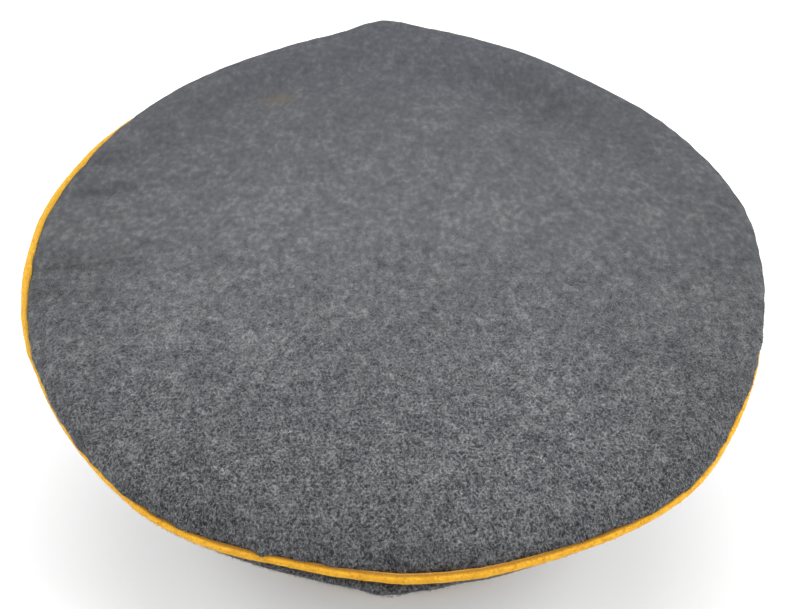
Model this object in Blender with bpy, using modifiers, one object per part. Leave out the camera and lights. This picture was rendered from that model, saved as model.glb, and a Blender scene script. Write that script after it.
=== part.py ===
"""A peaked uniform cap, resting on a table on its head band and the edge of its peak.

Metres, +Z up. The peak faces -Y, the wearer's left is +X and the table is Z = 0.
Pieces: the crown's top, four side panels, the cord in the crown's seam, the head band with
a cord along each edge, the peak, and a chin strap with two slides and two buttons.

A bearing goes round the cap in degrees: 0 at the front, 90 at the wearer's left, 180 at the back.
"""

import math

import bmesh
import bpy
import numpy as np
from mathutils import Vector

# Head band, an upright oval wall. Its inside is a 56 cm head.
HEAD_WIDTH = 0.164
HEAD_LENGTH = 0.192
BAND_WALL = 0.003
BAND_HEIGHT = 0.042
# The band lies flat on the table at the back and lifts towards the peak.
FRONT_LIFT = 0.024
LIFT_START = 0.40
LIFT_POWER = 1.6

# The crown's seam: an egg-shaped hoop, widest ahead of its middle, high in front and low behind.
CROWN_WIDTH = 0.279
CROWN_FRONT_REACH = 0.113
CROWN_REAR_REACH = 0.149
CROWN_FRONT_POWER = 1.88
CROWN_REAR_POWER = 2.14
HOOP_AHEAD_OF_BAND = 0.003
SEAM_HEIGHT_FRONT = 0.126
SEAM_HEIGHT_SIDE = 0.090
SEAM_HEIGHT_REAR = 0.059
# The middle of the top stands this far above a cloth drawn flat across the seam.
TOP_RISE = 0.009

# Cloth and sewing.
CLOTH = 0.002
SEWN_GAP = 0.0003
SEAM_GAP = 0.0008
HEM = 0.0008
CROWN_CORD_RADIUS = 0.0015
BAND_CORD_RADIUS = 0.0011
CORD_INSET = 0.0044

# Peak.
PEAK_REACH = 0.038
PEAK_WALL = 0.0024
PEAK_HALF_SPAN = 74.0
PEAK_SEAT = 0.0006
PEAK_BOW = 0.0035
PEAK_EDGE_POWER = 2.2
PEAK_STEPS = 30
PEAK_ROWS = 5

# Chin strap, its slides and its buttons.
STRAP_WIDTH = 0.014
STRAP_WALL = 0.0018
STRAP_HALF_SPAN = 71.0
STRAP_RISE = 0.0145
SLIDE_BEARING = 44.0
SLIDE_LENGTH = 0.008
SLIDE_WALL = 0.001
SLIDE_ROOM = 0.001
BUTTON_RADIUS = 0.0065
BUTTON_HEIGHT = 0.0042

# Facets: steps in one turn round the cap, and rows up or across each piece.
STEPS = 60
PANEL_STEPS = STEPS // 4
PANEL_ROWS = 9
HEM_ROWS = 1
ROLL_ROWS = 4
TOP_ROWS = 7
HARMONICS = 24

# Hand-shaped places in the seam. bearing and spread are in degrees, out and up are shares of
# half the crown's width.
SEAM_SHAPING = (
    # name, bearing, spread, out, up
    ("front peak", 4.5, 5.0, 0.000, 0.023),
    ("front rise", 0.0, 15.0, 0.000, 0.026),
    ("right front dip", -38.0, 20.5, 0.000, -0.0085),
    ("left temple", 52.0, 12.0, 0.006, 0.000),
    ("left front corner", 77.0, 11.0, -0.009, 0.000),
    ("right front corner", -48.0, 18.0, -0.012, 0.000),
    ("left back corner", 130.0, 12.0, -0.022, 0.000),
    ("left of the back", 166.0, 9.0, -0.016, 0.000),
    ("right side", -110.0, 8.0, -0.004, 0.000),
    ("right of the back", -156.0, 11.0, -0.008, 0.000),
    ("left side", 90.0, 30.0, 0.010, 0.000),
    ("left rear", 130.0, 20.0, 0.015, 0.000),
    ("right", -95.0, 40.0, 0.011, 0.000),
    ("right front", -58.0, 12.0, 0.013, 0.000),
    ("right rear", -141.0, 13.0, 0.019, 0.000),
)

# How the top cloth rolls over to the seam at each bearing. width and height are shares of half
# the crown's width. tuck is how far the cord swings under the rim: 0 beside it, 90 below it.
EDGE_ROLL = (
    # bearing, width, height, tuck
    (0.0, 0.045, 0.028, 85.0),
    (45.0, 0.045, 0.027, 85.0),
    (72.0, 0.055, 0.030, 35.0),
    (96.0, 0.060, 0.034, 10.0),
    (118.0, 0.075, 0.038, 90.0),
    (142.0, 0.085, 0.042, 80.0),
    (165.0, 0.100, 0.048, 15.0),
    (180.0, 0.110, 0.050, 0.0),
    (200.0, 0.100, 0.048, 15.0),
    (225.0, 0.095, 0.046, 80.0),
    (244.0, 0.080, 0.043, 95.0),
    (264.0, 0.070, 0.038, 100.0),
    (310.0, 0.045, 0.028, 95.0),
)

# How the side panels curve. belly is how far they push out under the seam, as a share of half
# the crown's width. foot and head are shares of the panel's rise over which it leaves the band
# and comes up to the cord.
PANEL_CURVE = (
    # bearing, belly, foot, head
    (0.0, 0.030, 0.35, 0.35),
    (90.0, 0.055, 0.30, 0.40),
    (140.0, 0.060, 0.30, 0.50),
    (156.0, 0.060, 0.30, 0.60),
    (170.0, 0.115, 0.35, 0.75),
    (180.0, 0.130, 0.35, 0.80),
    (190.0, 0.080, 0.35, 0.70),
    (203.0, 0.035, 0.30, 0.60),
    (220.0, 0.045, 0.30, 0.50),
    (270.0, 0.055, 0.30, 0.40),
)

# Soft dents and swells in the top. across is 0 at the top's middle and 1 at the seam, and
# rise is a share of half the crown's width.
TOP_SHAPING = (
    # name, bearing, spread, across, reach, rise
    ("right front swell", -38.0, 24.0, 0.90, 0.09, 0.024),
    ("right front valley", -34.0, 17.0, 0.74, 0.09, -0.034),
    ("left front swell", 40.0, 26.0, 0.90, 0.10, 0.016),
    ("left front valley", 44.0, 22.0, 0.76, 0.11, -0.020),
)

HALF_WIDTH = CROWN_WIDTH / 2
BAND_HALF_WIDTH = HEAD_WIDTH / 2 + BAND_WALL
BAND_HALF_LENGTH = HEAD_LENGTH / 2 + BAND_WALL


def wrapped(degrees):
    """A bearing brought into -180 to 180."""
    return (degrees + 180.0) % 360.0 - 180.0


def bell(bearing, centre, spread):
    """1 at the centre bearing, falling smoothly to 0 on both sides."""
    return math.exp(-((wrapped(bearing - centre) / spread) ** 2))


def around(table, bearing):
    """The columns of a table of bearings, eased between its rows."""
    rows = [*table, (table[0][0] + 360.0, *table[0][1:])]
    turn = bearing % 360.0
    low, high = next(pair for pair in zip(rows, rows[1:]) if turn <= pair[1][0])
    share = (turn - low[0]) / (high[0] - low[0])
    eased = share * share * (3.0 - 2.0 * share)
    return [start + (end - start) * eased for start, end in zip(low[1:], high[1:])]


def oval(bearing, half_width, front, rear, front_power=2.0, rear_power=2.0):
    """A point of an egg-shaped plan outline about its own widest line."""
    side = math.sin(math.radians(bearing))
    ahead = math.cos(math.radians(bearing))
    reach, power = (front, front_power) if ahead >= 0 else (rear, rear_power)
    radius = (abs(side / half_width) ** power + abs(ahead / reach) ** power) ** (-1.0 / power)
    return Vector((radius * side, -radius * ahead, 0.0))


def outward(outline, bearing):
    """The level direction straight out of an outline at a bearing."""
    step = 0.5
    along = outline(bearing + step) - outline(bearing - step)
    return Vector((along.y, -along.x, 0.0)).normalized()


def band_outline(bearing, offset=0.0):
    """The band's outer oval, or one drawn outside it, before the cap is centred."""
    half_width = BAND_HALF_WIDTH + offset
    half_length = BAND_HALF_LENGTH + offset
    return oval(bearing, half_width, half_length, half_length)


def band_lift(bearing):
    """Height of the band's lower rim above the table."""
    along = 0.5 + 0.5 * math.cos(math.radians(bearing))
    share = max(0.0, (along - LIFT_START) / (1.0 - LIFT_START))
    return FRONT_LIFT * share**LIFT_POWER


def band_point(bearing, offset, height):
    """A point beside the band: outside its outer face, and above its lower rim."""
    point = band_outline(bearing, offset)
    point.z = band_lift(bearing) + height
    return point


def seam_outline(bearing):
    """The crown's seam in plan, before the cap is centred."""
    point = oval(
        bearing,
        HALF_WIDTH,
        CROWN_FRONT_REACH,
        CROWN_REAR_REACH,
        CROWN_FRONT_POWER,
        CROWN_REAR_POWER,
    )
    out = sum(row[3] * bell(bearing, row[1], row[2]) for row in SEAM_SHAPING)
    point += point.normalized() * out * HALF_WIDTH
    point.y -= HOOP_AHEAD_OF_BAND
    return point


def seam_height(bearing):
    """Height of the crown's seam: high in front, low behind, with a peak over the forehead."""
    turn = math.radians(bearing)
    middle = (SEAM_HEIGHT_FRONT + SEAM_HEIGHT_REAR) / 2
    slope = (SEAM_HEIGHT_FRONT - SEAM_HEIGHT_REAR) / 2
    saddle = (middle - SEAM_HEIGHT_SIDE) / 2
    height = (middle + SEAM_HEIGHT_SIDE) / 2 + slope * math.cos(turn) + saddle * math.cos(2 * turn)
    up = sum(row[4] * bell(bearing, row[1], row[2]) for row in SEAM_SHAPING)
    return height + up * HALF_WIDTH


def seam_point(bearing):
    """A point of the crown's seam, where top, cord and side panel meet."""
    point = seam_outline(bearing)
    point.z = seam_height(bearing)
    return point


def top_rim(bearing):
    """The lower outer corner of the top cloth."""
    return seam_point(bearing) - outward(seam_outline, bearing) * SEWN_GAP


def crown_cord_centre(bearing):
    """The cord stands beside the top's rim, or is tucked down under it where it hides."""
    tuck = math.radians(around(EDGE_ROLL, bearing)[2])
    out = outward(seam_outline, bearing)
    swing = out * math.cos(tuck) - Vector((0.0, 0.0, math.sin(tuck)))
    return top_rim(bearing) + swing * (CROWN_CORD_RADIUS + SEWN_GAP)


def drum_heights():
    """Harmonics of the seam's height, for cloth drawn tight over it like a drum skin."""
    turns = [360.0 * step / STEPS for step in range(STEPS)]
    spectrum = np.fft.rfft([seam_height(bearing) for bearing in turns]) / STEPS
    return [spectrum[0].real] + [2 * value for value in spectrum[1 : HARMONICS + 1]]


DRUM = drum_heights()


def drum_height(bearing, across):
    """Height of the tight cloth, across from 0 in the middle to 1 at the seam."""
    turn = math.radians(bearing)
    height = DRUM[0]
    for order, value in enumerate(DRUM[1:], start=1):
        swing = value.real * math.cos(order * turn) - value.imag * math.sin(order * turn)
        height += across**order * swing
    return height


def top_place(bearing, share):
    """The top's outer face. share runs from 0 at the rim, over the roll, to 1 in the middle."""
    rim = top_rim(bearing)
    rim.z = 0.0
    middle = Vector((0.0, -HOOP_AHEAD_OF_BAND, 0.0))
    roll_width, roll_height = (value * HALF_WIDTH for value in around(EDGE_ROLL, bearing)[:2])
    roll_end = 1.0 - roll_width / (rim - middle).length
    row = share * (HEM_ROWS + ROLL_ROWS + TOP_ROWS) - HEM_ROWS
    if row <= 0.0:
        across = 1.0
        raised = 0.0
    elif row <= ROLL_ROWS:
        turn = math.radians(90.0 * row / ROLL_ROWS)
        across = 1.0 - (1.0 - roll_end) * (1.0 - math.cos(turn))
        raised = roll_height * math.sin(turn)
    else:
        across = roll_end * (1.0 - (row - ROLL_ROWS) / TOP_ROWS)
        raised = TOP_RISE + (roll_height - TOP_RISE) * (across / roll_end) ** 2
    point = middle + (rim - middle) * across
    point.z = drum_height(bearing, across) + HEM * min(1.0, 1.0 + row / HEM_ROWS) + raised
    for _, centre, spread, ring, reach, rise in TOP_SHAPING:
        fade = math.exp(-(((across - ring) / reach) ** 2)) * min(1.0, raised / roll_height)
        point.z += rise * HALF_WIDTH * bell(bearing, centre, spread) * fade
    return point


def panel_place(bearing, share):
    """A side panel's outer face, from the band's upper rim (0) to the top's rim (1)."""
    foot = band_point(bearing, 0.0, BAND_HEIGHT + SEWN_GAP)
    out = outward(seam_outline, bearing)
    up = Vector((0.0, 0.0, 1.0))
    beside_cord = CROWN_CORD_RADIUS + SEWN_GAP
    head = crown_cord_centre(bearing) - out * beside_cord - up * (beside_cord + SEWN_GAP)
    stand = top_rim(bearing).z - SEWN_GAP - head.z
    curve_share = 1.0 - 1.0 / PANEL_ROWS
    if share > curve_share:
        return head + up * stand * (share - curve_share) / (1.0 - curve_share)
    belly, foot_share, head_share = around(PANEL_CURVE, bearing)
    rise = head.z - foot.z
    foot_pull = foot + up * rise * foot_share
    head_pull = head - up * rise * head_share + out * belly * HALF_WIDTH
    along = share / curve_share
    rest = 1.0 - along
    return (
        foot * rest**3
        + foot_pull * (3 * along * rest**2)
        + head_pull * (3 * along**2 * rest)
        + head * along**3
    )


def peak_place(bearing, share):
    """The peak's underside, from the band (0) to its free edge (1), which meets the table."""
    along = abs(bearing) / PEAK_HALF_SPAN
    inner = band_point(bearing, SEWN_GAP, PEAK_SEAT)
    reach = PEAK_REACH * max(0.0, 1.0 - along**PEAK_EDGE_POWER) ** 0.8
    edge_height = inner.z * along**PEAK_EDGE_POWER
    out = outward(band_outline, bearing)
    point = inner + out * reach * share
    drop = inner.z - edge_height
    bow = PEAK_BOW * 4.0 * share * (1.0 - share) * drop / FRONT_LIFT
    point.z = inner.z - drop * share + bow
    return point


def cap_shift():
    """Moves the cap so that its origin is under the middle of its overall length."""
    rows = [panel_place(180.0, step / 64) for step in range(65)]
    rear = max(max(point.y for point in rows), crown_cord_centre(180.0).y + CROWN_CORD_RADIUS)
    front = peak_place(0.0, 1.0).y
    return Vector((0.0, -(rear + front) / 2, 0.0))


SHIFT = cap_shift()


def clear_scene():
    """Starts from an empty scene."""
    for old in list(bpy.data.objects):
        bpy.data.objects.remove(old, do_unlink=True)


def finish(name, colour, roughness, metallic=0.0):
    """A plain material of one colour."""
    material = bpy.data.materials.new(name)
    material.use_nodes = True
    shader = material.node_tree.nodes["Principled BSDF"]
    shader.inputs["Base Color"].default_value = (*colour, 1.0)
    shader.inputs["Roughness"].default_value = roughness
    shader.inputs["Metallic"].default_value = metallic
    return material


def add_piece(name, data, material, holder):
    """Names one sub-part, gives it its finish and hangs it on the cap's empty."""
    piece = bpy.data.objects.new(name, data)
    data.materials.append(material)
    holder.users_collection[0].objects.link(piece)
    piece.parent = holder
    piece.location = SHIFT
    return piece


def cloth_mesh(name, columns, rows, place):
    """A sheet of quads: place gives each point from its shares along and up the sheet."""
    form = bmesh.new()
    bmesh.ops.create_grid(form, x_segments=columns, y_segments=rows, size=0.5)
    for vertex in form.verts:
        vertex.co = place(vertex.co.x + 0.5, vertex.co.y + 0.5)
    bmesh.ops.remove_doubles(form, verts=form.verts, dist=1e-6)
    mesh = bpy.data.meshes.new(name)
    form.to_mesh(mesh)
    form.free()
    mesh.shade_smooth()
    return mesh


def add_shell(name, columns, rows, place, wall, material, holder):
    """A wall of even thickness behind an outer face."""
    piece = add_piece(name, cloth_mesh(name, columns, rows, place), material, holder)
    thick = piece.modifiers.new("wall", "SOLIDIFY")
    thick.thickness = wall
    thick.offset = -1.0
    thick.use_even_offset = True
    return piece


def add_cord(name, centre, radius, material, holder):
    """A closed ring of round cord through one point at each step round the cap."""
    line = bpy.data.curves.new(name, "CURVE")
    line.dimensions = "3D"
    line.bevel_depth = radius
    line.bevel_resolution = 2
    ring = line.splines.new("POLY")
    ring.points.add(STEPS - 1)
    for step, point in enumerate(ring.points):
        point.co = (*centre(360.0 * step / STEPS), 1.0)
    ring.use_cyclic_u = True
    return add_piece(name, line, material, holder)


def add_crown_top(material, holder):
    """The round of cloth on top, rolled down to the seam."""

    def place(along, share):
        return top_place(360.0 * along, share)

    add_shell("crown_top", STEPS, HEM_ROWS + ROLL_ROWS + TOP_ROWS, place, CLOTH, material, holder)


def add_side_panels(material, holder):
    """Four panels, joined by seams at the front, at the back and over each ear."""
    names = ("panel_front_left", "panel_rear_left", "panel_rear_right", "panel_front_right")
    for quarter, name in enumerate(names):

        def place(along, share, start=90.0 * quarter):
            bearing = start + 90.0 * along
            point = panel_place(bearing, share)
            out = outward(seam_outline, bearing)
            sideways = Vector((-out.y, out.x, 0.0))
            if along < 1e-6:
                point += sideways * SEAM_GAP / 2
            if along > 1.0 - 1e-6:
                point -= sideways * SEAM_GAP / 2
            return point

        add_shell(name, PANEL_STEPS, PANEL_ROWS, place, CLOTH, material, holder)


def add_band(material, holder):
    """The upright wall that grips the head."""

    def place(along, share):
        return band_point(360.0 * along, 0.0, BAND_HEIGHT * share)

    add_shell("band", STEPS, 1, place, BAND_WALL, material, holder)


def add_band_cords(material, holder):
    """A cord along each edge of the band."""
    stand_off = BAND_CORD_RADIUS + SEWN_GAP
    heights = {
        "band_cord_lower": CORD_INSET,
        "band_cord_upper": BAND_HEIGHT - BAND_CORD_RADIUS - SEWN_GAP,
    }
    for name, height in heights.items():

        def centre(bearing, height=height):
            return band_point(bearing, stand_off, height)

        add_cord(name, centre, BAND_CORD_RADIUS, material, holder)


def add_peak(material, holder):
    """The stiff crescent over the eyes."""

    def place(along, share):
        return peak_place(PEAK_HALF_SPAN * (2.0 * along - 1.0) * 0.995, share)

    add_shell("peak", PEAK_STEPS, PEAK_ROWS, place, PEAK_WALL, material, holder)


def strap_stand_off():
    """Room between the band and the strap, for the back of a slide."""
    return SLIDE_WALL + 2 * SEWN_GAP


def strap_middle(bearing, beyond=0.0):
    """A point on the middle line of the strap, or straight outside it."""
    return band_point(bearing, strap_stand_off() + STRAP_WALL / 2 + beyond, STRAP_RISE)


def add_strap(material, holder):
    """The chin strap, worn up, across the front of the band from button to button."""

    def place(along, share):
        bearing = STRAP_HALF_SPAN * (2.0 * along - 1.0)
        return strap_middle(bearing, STRAP_WALL / 2) + Vector((0, 0, STRAP_WIDTH * (share - 0.5)))

    add_shell("chin_strap", 40, 1, place, STRAP_WALL, material, holder)


def ring_corner(turn, half_depth, half_height, power=8.0):
    """A point of a rounded rectangle, from its turn in degrees."""
    depth = math.cos(math.radians(turn))
    height = math.sin(math.radians(turn))
    radius = (abs(depth / half_depth) ** power + abs(height / half_height) ** power) ** (-1 / power)
    return radius * depth, radius * height


def add_slides(material, holder):
    """Two flat loops that the strap runs through."""
    half_depth = STRAP_WALL / 2 + SEWN_GAP + SLIDE_WALL
    half_height = STRAP_WIDTH / 2 + SLIDE_ROOM + SLIDE_WALL
    for name, side in (("strap_slide_left", 1.0), ("strap_slide_right", -1.0)):
        bearing = side * SLIDE_BEARING
        middle, past, before = (strap_middle(bearing + step) for step in (0.0, 0.5, -0.5))
        forward = (past - before).normalized()
        out = outward(band_outline, bearing)
        up = out.cross(forward)

        def place(along, share, middle=middle, forward=forward, out=out, up=up):
            depth, height = ring_corner(-360.0 * along, half_depth, half_height)
            return middle + out * depth + up * height + forward * SLIDE_LENGTH * (share - 0.5)

        add_shell(name, 24, 1, place, SLIDE_WALL, material, holder)


def add_buttons(material, holder):
    """A domed button on each end of the strap."""
    for name, side in (("side_button_left", 1.0), ("side_button_right", -1.0)):
        bearing = side * (STRAP_HALF_SPAN - math.degrees(STRAP_WIDTH / 2 / BAND_HALF_WIDTH))
        seat = strap_middle(bearing, STRAP_WALL / 2 + SEWN_GAP)
        out = outward(band_outline, bearing)
        profile = bpy.data.meshes.new(name)
        form = bmesh.new()
        dome = [form.verts.new((0.0, 0.0, BUTTON_HEIGHT))]
        for step in range(1, 7):
            turn = math.radians(90.0 * step / 6)
            spread = BUTTON_RADIUS * math.sin(turn)
            lift = BUTTON_HEIGHT * (0.25 + 0.75 * math.cos(turn))
            dome.append(form.verts.new((spread, 0.0, lift)))
        dome.append(form.verts.new((BUTTON_RADIUS * 0.9, 0.0, 0.0)))
        dome.append(form.verts.new((0.0, 0.0, 0.0)))
        for first, second in zip(dome, dome[1:]):
            form.edges.new((first, second))
        form.to_mesh(profile)
        form.free()
        button = add_piece(name, profile, material, holder)
        button.location = seat + SHIFT
        button.rotation_mode = "QUATERNION"
        button.rotation_quaternion = out.to_track_quat("Z", "Y")
        turned = button.modifiers.new("turned", "SCREW")
        turned.steps = 20
        turned.render_steps = 20
        turned.use_merge_vertices = True
        turned.merge_threshold = 0.00001


def main():
    clear_scene()
    pieces = bpy.data.collections.new("peaked_cap")
    bpy.context.scene.collection.children.link(pieces)
    holder = bpy.data.objects.new("cap_origin", None)
    pieces.objects.link(holder)

    grey_cloth = finish("grey_cloth", (0.16, 0.163, 0.173), 0.95)
    yellow_cloth = finish("yellow_cloth", (0.93, 0.48, 0.03), 0.9)
    black_ribbed = finish("black_ribbed", (0.012, 0.012, 0.014), 0.8)
    black_glazed = finish("black_glazed", (0.008, 0.008, 0.009), 0.2)
    black_leather = finish("black_leather", (0.014, 0.013, 0.013), 0.45)
    black_enamel = finish("black_enamel", (0.01, 0.01, 0.01), 0.3)
    grey_metal = finish("grey_metal", (0.42, 0.42, 0.41), 0.45, 1.0)

    add_crown_top(grey_cloth, holder)
    add_side_panels(grey_cloth, holder)
    add_cord("crown_cord", crown_cord_centre, CROWN_CORD_RADIUS, yellow_cloth, holder)
    add_band(black_ribbed, holder)
    add_band_cords(yellow_cloth, holder)
    add_peak(black_glazed, holder)
    add_strap(black_leather, holder)
    add_slides(black_enamel, holder)
    add_buttons(grey_metal, holder)


main()
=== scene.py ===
# %% [markdown]
# # A peaked cap, seen from behind and above
#
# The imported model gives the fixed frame: the pieces' places and sizes, in metres, with the peak
# towards -Y, the wearer's left at +X and the table at Z = 0. This script dresses it. Each piece is
# made again on a finer grid, from the same few rules that the solids follow, and gets the cloth,
# felt, lacquer, leather or metal of the real cap.

import math

import bmesh
import bpy
import numpy as np
from mathutils import Matrix, Vector


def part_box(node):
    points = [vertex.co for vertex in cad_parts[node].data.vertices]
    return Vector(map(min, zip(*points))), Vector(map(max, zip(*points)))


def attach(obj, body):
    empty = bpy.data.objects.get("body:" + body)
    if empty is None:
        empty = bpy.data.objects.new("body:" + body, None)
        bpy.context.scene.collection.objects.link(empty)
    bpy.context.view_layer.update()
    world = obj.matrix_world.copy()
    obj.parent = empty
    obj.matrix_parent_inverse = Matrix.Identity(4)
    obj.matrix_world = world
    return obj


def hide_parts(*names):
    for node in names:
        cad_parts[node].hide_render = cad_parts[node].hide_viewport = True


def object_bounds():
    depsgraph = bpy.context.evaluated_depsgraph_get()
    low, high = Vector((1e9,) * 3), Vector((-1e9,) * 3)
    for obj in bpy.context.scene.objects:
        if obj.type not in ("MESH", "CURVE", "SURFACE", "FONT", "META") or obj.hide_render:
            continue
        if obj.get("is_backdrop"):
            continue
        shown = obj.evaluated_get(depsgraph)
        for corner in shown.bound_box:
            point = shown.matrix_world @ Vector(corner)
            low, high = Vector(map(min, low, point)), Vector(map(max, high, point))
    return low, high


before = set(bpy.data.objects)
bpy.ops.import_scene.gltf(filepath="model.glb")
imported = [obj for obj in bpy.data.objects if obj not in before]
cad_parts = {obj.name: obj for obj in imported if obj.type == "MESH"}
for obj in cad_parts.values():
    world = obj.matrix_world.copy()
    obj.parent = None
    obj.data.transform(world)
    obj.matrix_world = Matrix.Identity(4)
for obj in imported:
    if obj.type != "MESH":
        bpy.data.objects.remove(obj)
CAD_BOX = [list(corner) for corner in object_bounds()]
print("the solids fill", [round(high - low, 4) for low, high in zip(*CAD_BOX)])

# %% [markdown]
# ## The camera
#
# The camera stands behind the cap and looks down on it. A lens of about 53 mm at less than half a
# metre gives the crown its strong perspective. A camera could be moved by eye until the picture
# looks right. Here its height, lens and roll were fitted together with the crown's seam, until
# the drawn outline met the photographed one, because eye and lens easily trade errors.

# %% Set the camera
CAMERA_TARGET = Vector((-0.0015, 0.0183, 0.0748))
CAMERA_DISTANCE = 0.450
CAMERA_ELEVATION = 34.58
CAMERA_ROLL = 0.72
CAMERA_LENS = 53.0
CAMERA_CLIP = 0.01


def add_camera():
    """A camera on the +Y side, looking down at the crown."""
    lens = bpy.data.cameras.new("camera")
    lens.lens = CAMERA_LENS
    lens.clip_start = CAMERA_CLIP
    camera = bpy.data.objects.new("camera", lens)
    bpy.context.scene.collection.objects.link(camera)
    rise = math.radians(CAMERA_ELEVATION)
    offset = Vector((0.0, math.cos(rise), math.sin(rise))) * CAMERA_DISTANCE
    roll = Matrix.Rotation(math.radians(CAMERA_ROLL), 3, "Z").to_quaternion()
    camera.location = CAMERA_TARGET + offset
    camera.rotation_mode = "QUATERNION"
    camera.rotation_quaternion = (-offset).to_track_quat("-Z", "Y") @ roll
    bpy.context.scene.camera = camera
    return camera


camera = add_camera()
print("camera at", [round(value, 3) for value in camera.location])

# %% [markdown]
# ## The table
#
# The cap lies on a plain white table. A large plane is enough, because the picture never reaches
# its edge. It isn't part of the cap, so it is marked as stage.

# %% Lay the table
TABLE_SIZE = 12.0
TABLE_WHITE = (0.90, 0.905, 0.905, 1.0)
TABLE_ROUGHNESS = 0.6


def lay_table():
    """A wide white table top."""
    bpy.ops.mesh.primitive_plane_add(size=TABLE_SIZE)
    table = bpy.context.object
    table.name = "table"
    paint = bpy.data.materials.new("white_table")
    paint.use_nodes = True
    shader = paint.node_tree.nodes["Principled BSDF"]
    shader.inputs["Base Color"].default_value = TABLE_WHITE
    shader.inputs["Roughness"].default_value = TABLE_ROUGHNESS
    table.data.materials.append(paint)
    table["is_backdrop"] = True
    return table


table = lay_table()
print("table:", [round(side, 1) for side in table.dimensions[:2]], "m")

# %% [markdown]
# ## Soft light
#
# The light is broad and soft, so the cap's shadow is only a grey rim under its near edge. One
# small lamp would draw a hard shadow line. Three wide soft boxes do better: a large one above,
# towards the front of the cap, and one at each side.

# %% Hang the lamps
LAMPS = (
    # name, place, width, watts
    ("top_soft_box", (0.0, -1.0, 1.55), 2.0, 18.0),
    ("side_soft_box_right", (-1.3, 0.2, 0.85), 1.2, 26.0),
    ("side_soft_box_left", (1.3, 0.1, 0.85), 1.2, 23.0),
)
LAMP_TARGET = Vector((0.0, 0.0, 0.0))


def hang_lamp(name, place, width, watts):
    """A square soft box that faces the cap."""
    light = bpy.data.lights.new(name, "AREA")
    light.shape = "SQUARE"
    light.size = width
    light.energy = watts
    lamp = bpy.data.objects.new(name, light)
    lamp.location = place
    aim = LAMP_TARGET - Vector(place)
    lamp.rotation_euler = aim.to_track_quat("-Z", "Y").to_euler()
    bpy.context.scene.collection.objects.link(lamp)


for row in LAMPS:
    hang_lamp(*row)
print("lamps:", sum(row[3] for row in LAMPS), "W in all")

# %% [markdown]
# ## The bright room
#
# White walls send light back from all sides and fill the shadows. An even world would do for most
# things, but the cloth's near roll is darker than its front, so the world is brighter in front of
# the cap than behind it. The standard view keeps whites white.

# %% Light the room
WORLD_IN_FRONT = 0.78
WORLD_BEHIND = 0.30


def light_room():
    """A white world whose strength falls from -Y to +Y."""
    world = bpy.data.worlds.new("bright_room")
    world.use_nodes = True
    nodes = world.node_tree.nodes
    links = world.node_tree.links
    background = nodes["Background"]
    background.inputs["Color"].default_value = (1.0, 1.0, 1.0, 1.0)
    direction = nodes.new("ShaderNodeTexCoord")
    parts = nodes.new("ShaderNodeSeparateXYZ")
    falloff = nodes.new("ShaderNodeMapRange")
    limits = {"From Min": -1.0, "From Max": 1.0, "To Min": WORLD_IN_FRONT, "To Max": WORLD_BEHIND}
    for name, value in limits.items():
        falloff.inputs[name].default_value = value
    links.new(direction.outputs["Generated"], parts.inputs[0])
    links.new(parts.outputs["Y"], falloff.inputs["Value"])
    links.new(falloff.outputs["Result"], background.inputs["Strength"])
    bpy.context.scene.world = world


light_room()
bpy.context.scene.view_settings.view_transform = "Standard"
print("room light: from", WORLD_IN_FRONT, "in front to", WORLD_BEHIND, "behind")

# %% [markdown]
# ## The rules of the shape
#
# A bearing goes round the cap in degrees: 0 at the front, 90 at the wearer's left, 180 at the
# back. The crown hangs from one line, its seam: an egg-shaped hoop, high in front and low behind.
# The band is an oval wall. Every piece is then a grid whose points come from a place function of
# two shares, along and across. The functions take whole numpy arrays, so that a grid of many
# thousand points is still made in a moment.

# %% Read the sizes that the solids give
BAND_LOW, BAND_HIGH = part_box("band")
BAND_HALF_WIDTH = (BAND_HIGH.x - BAND_LOW.x) / 2
BAND_HALF_LENGTH = (BAND_HIGH.y - BAND_LOW.y) / 2
MIDDLE_Y = (BAND_HIGH.y + BAND_LOW.y) / 2
BAND_HEIGHT = 0.042
FRONT_LIFT = BAND_HIGH.z - BAND_HEIGHT
SEWN_GAP = 0.0003
UP = np.array([0.0, 0.0, 1.0])
print("band", round(BAND_HALF_WIDTH, 4), round(BAND_HALF_LENGTH, 4), "lift", round(FRONT_LIFT, 4))

# %% [markdown]
# ### Bearings, bells and tables
#
# Worn cloth is never a clean oval. Its dents could be sculpted by hand, but then nobody can change
# them. Here each is a row of a short table: a bearing, how far it spreads, how far the line moves.
# A bell adds such a row to a line, and a table that is eased from row to row gives a value that
# changes round the cap.


# %% Work with bearings
def wrapped(degrees):
    """Bearings brought into -180 to 180."""
    return (degrees + 180.0) % 360.0 - 180.0


def bell(bearing, centre, spread):
    """1 at the centre bearing, falling smoothly to 0 on both sides."""
    return np.exp(-((wrapped(bearing - centre) / spread) ** 2))


def around(table, bearing, column):
    """One column of a table of bearings, eased between its rows."""
    rows = np.array([*table, (table[0][0] + 360.0, *table[0][1:])])
    turn = np.asarray(bearing) % 360.0
    above = np.clip(np.searchsorted(rows[:, 0], turn, side="left"), 1, len(rows) - 1)
    low = rows[above - 1]
    high = rows[above]
    share = (turn - low[..., 0]) / (high[..., 0] - low[..., 0])
    eased = share * share * (3.0 - 2.0 * share)
    return low[..., column] + (high[..., column] - low[..., column]) * eased


print("a bell of 10 degrees, 5 degrees off its centre:", round(float(bell(5.0, 0.0, 10.0)), 3))


# %% Draw plan outlines
def oval(bearing, half_width, front, rear, front_power=2.0, rear_power=2.0):
    """Points of an egg-shaped plan outline about its own widest line."""
    side = np.sin(np.radians(bearing))
    ahead = np.cos(np.radians(bearing))
    reach = np.where(ahead >= 0, front, rear)
    power = np.where(ahead >= 0, front_power, rear_power)
    radius = (np.abs(side / half_width) ** power + np.abs(ahead / reach) ** power) ** (-1.0 / power)
    return np.stack([radius * side, -radius * ahead, np.zeros_like(radius)], -1)


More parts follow.
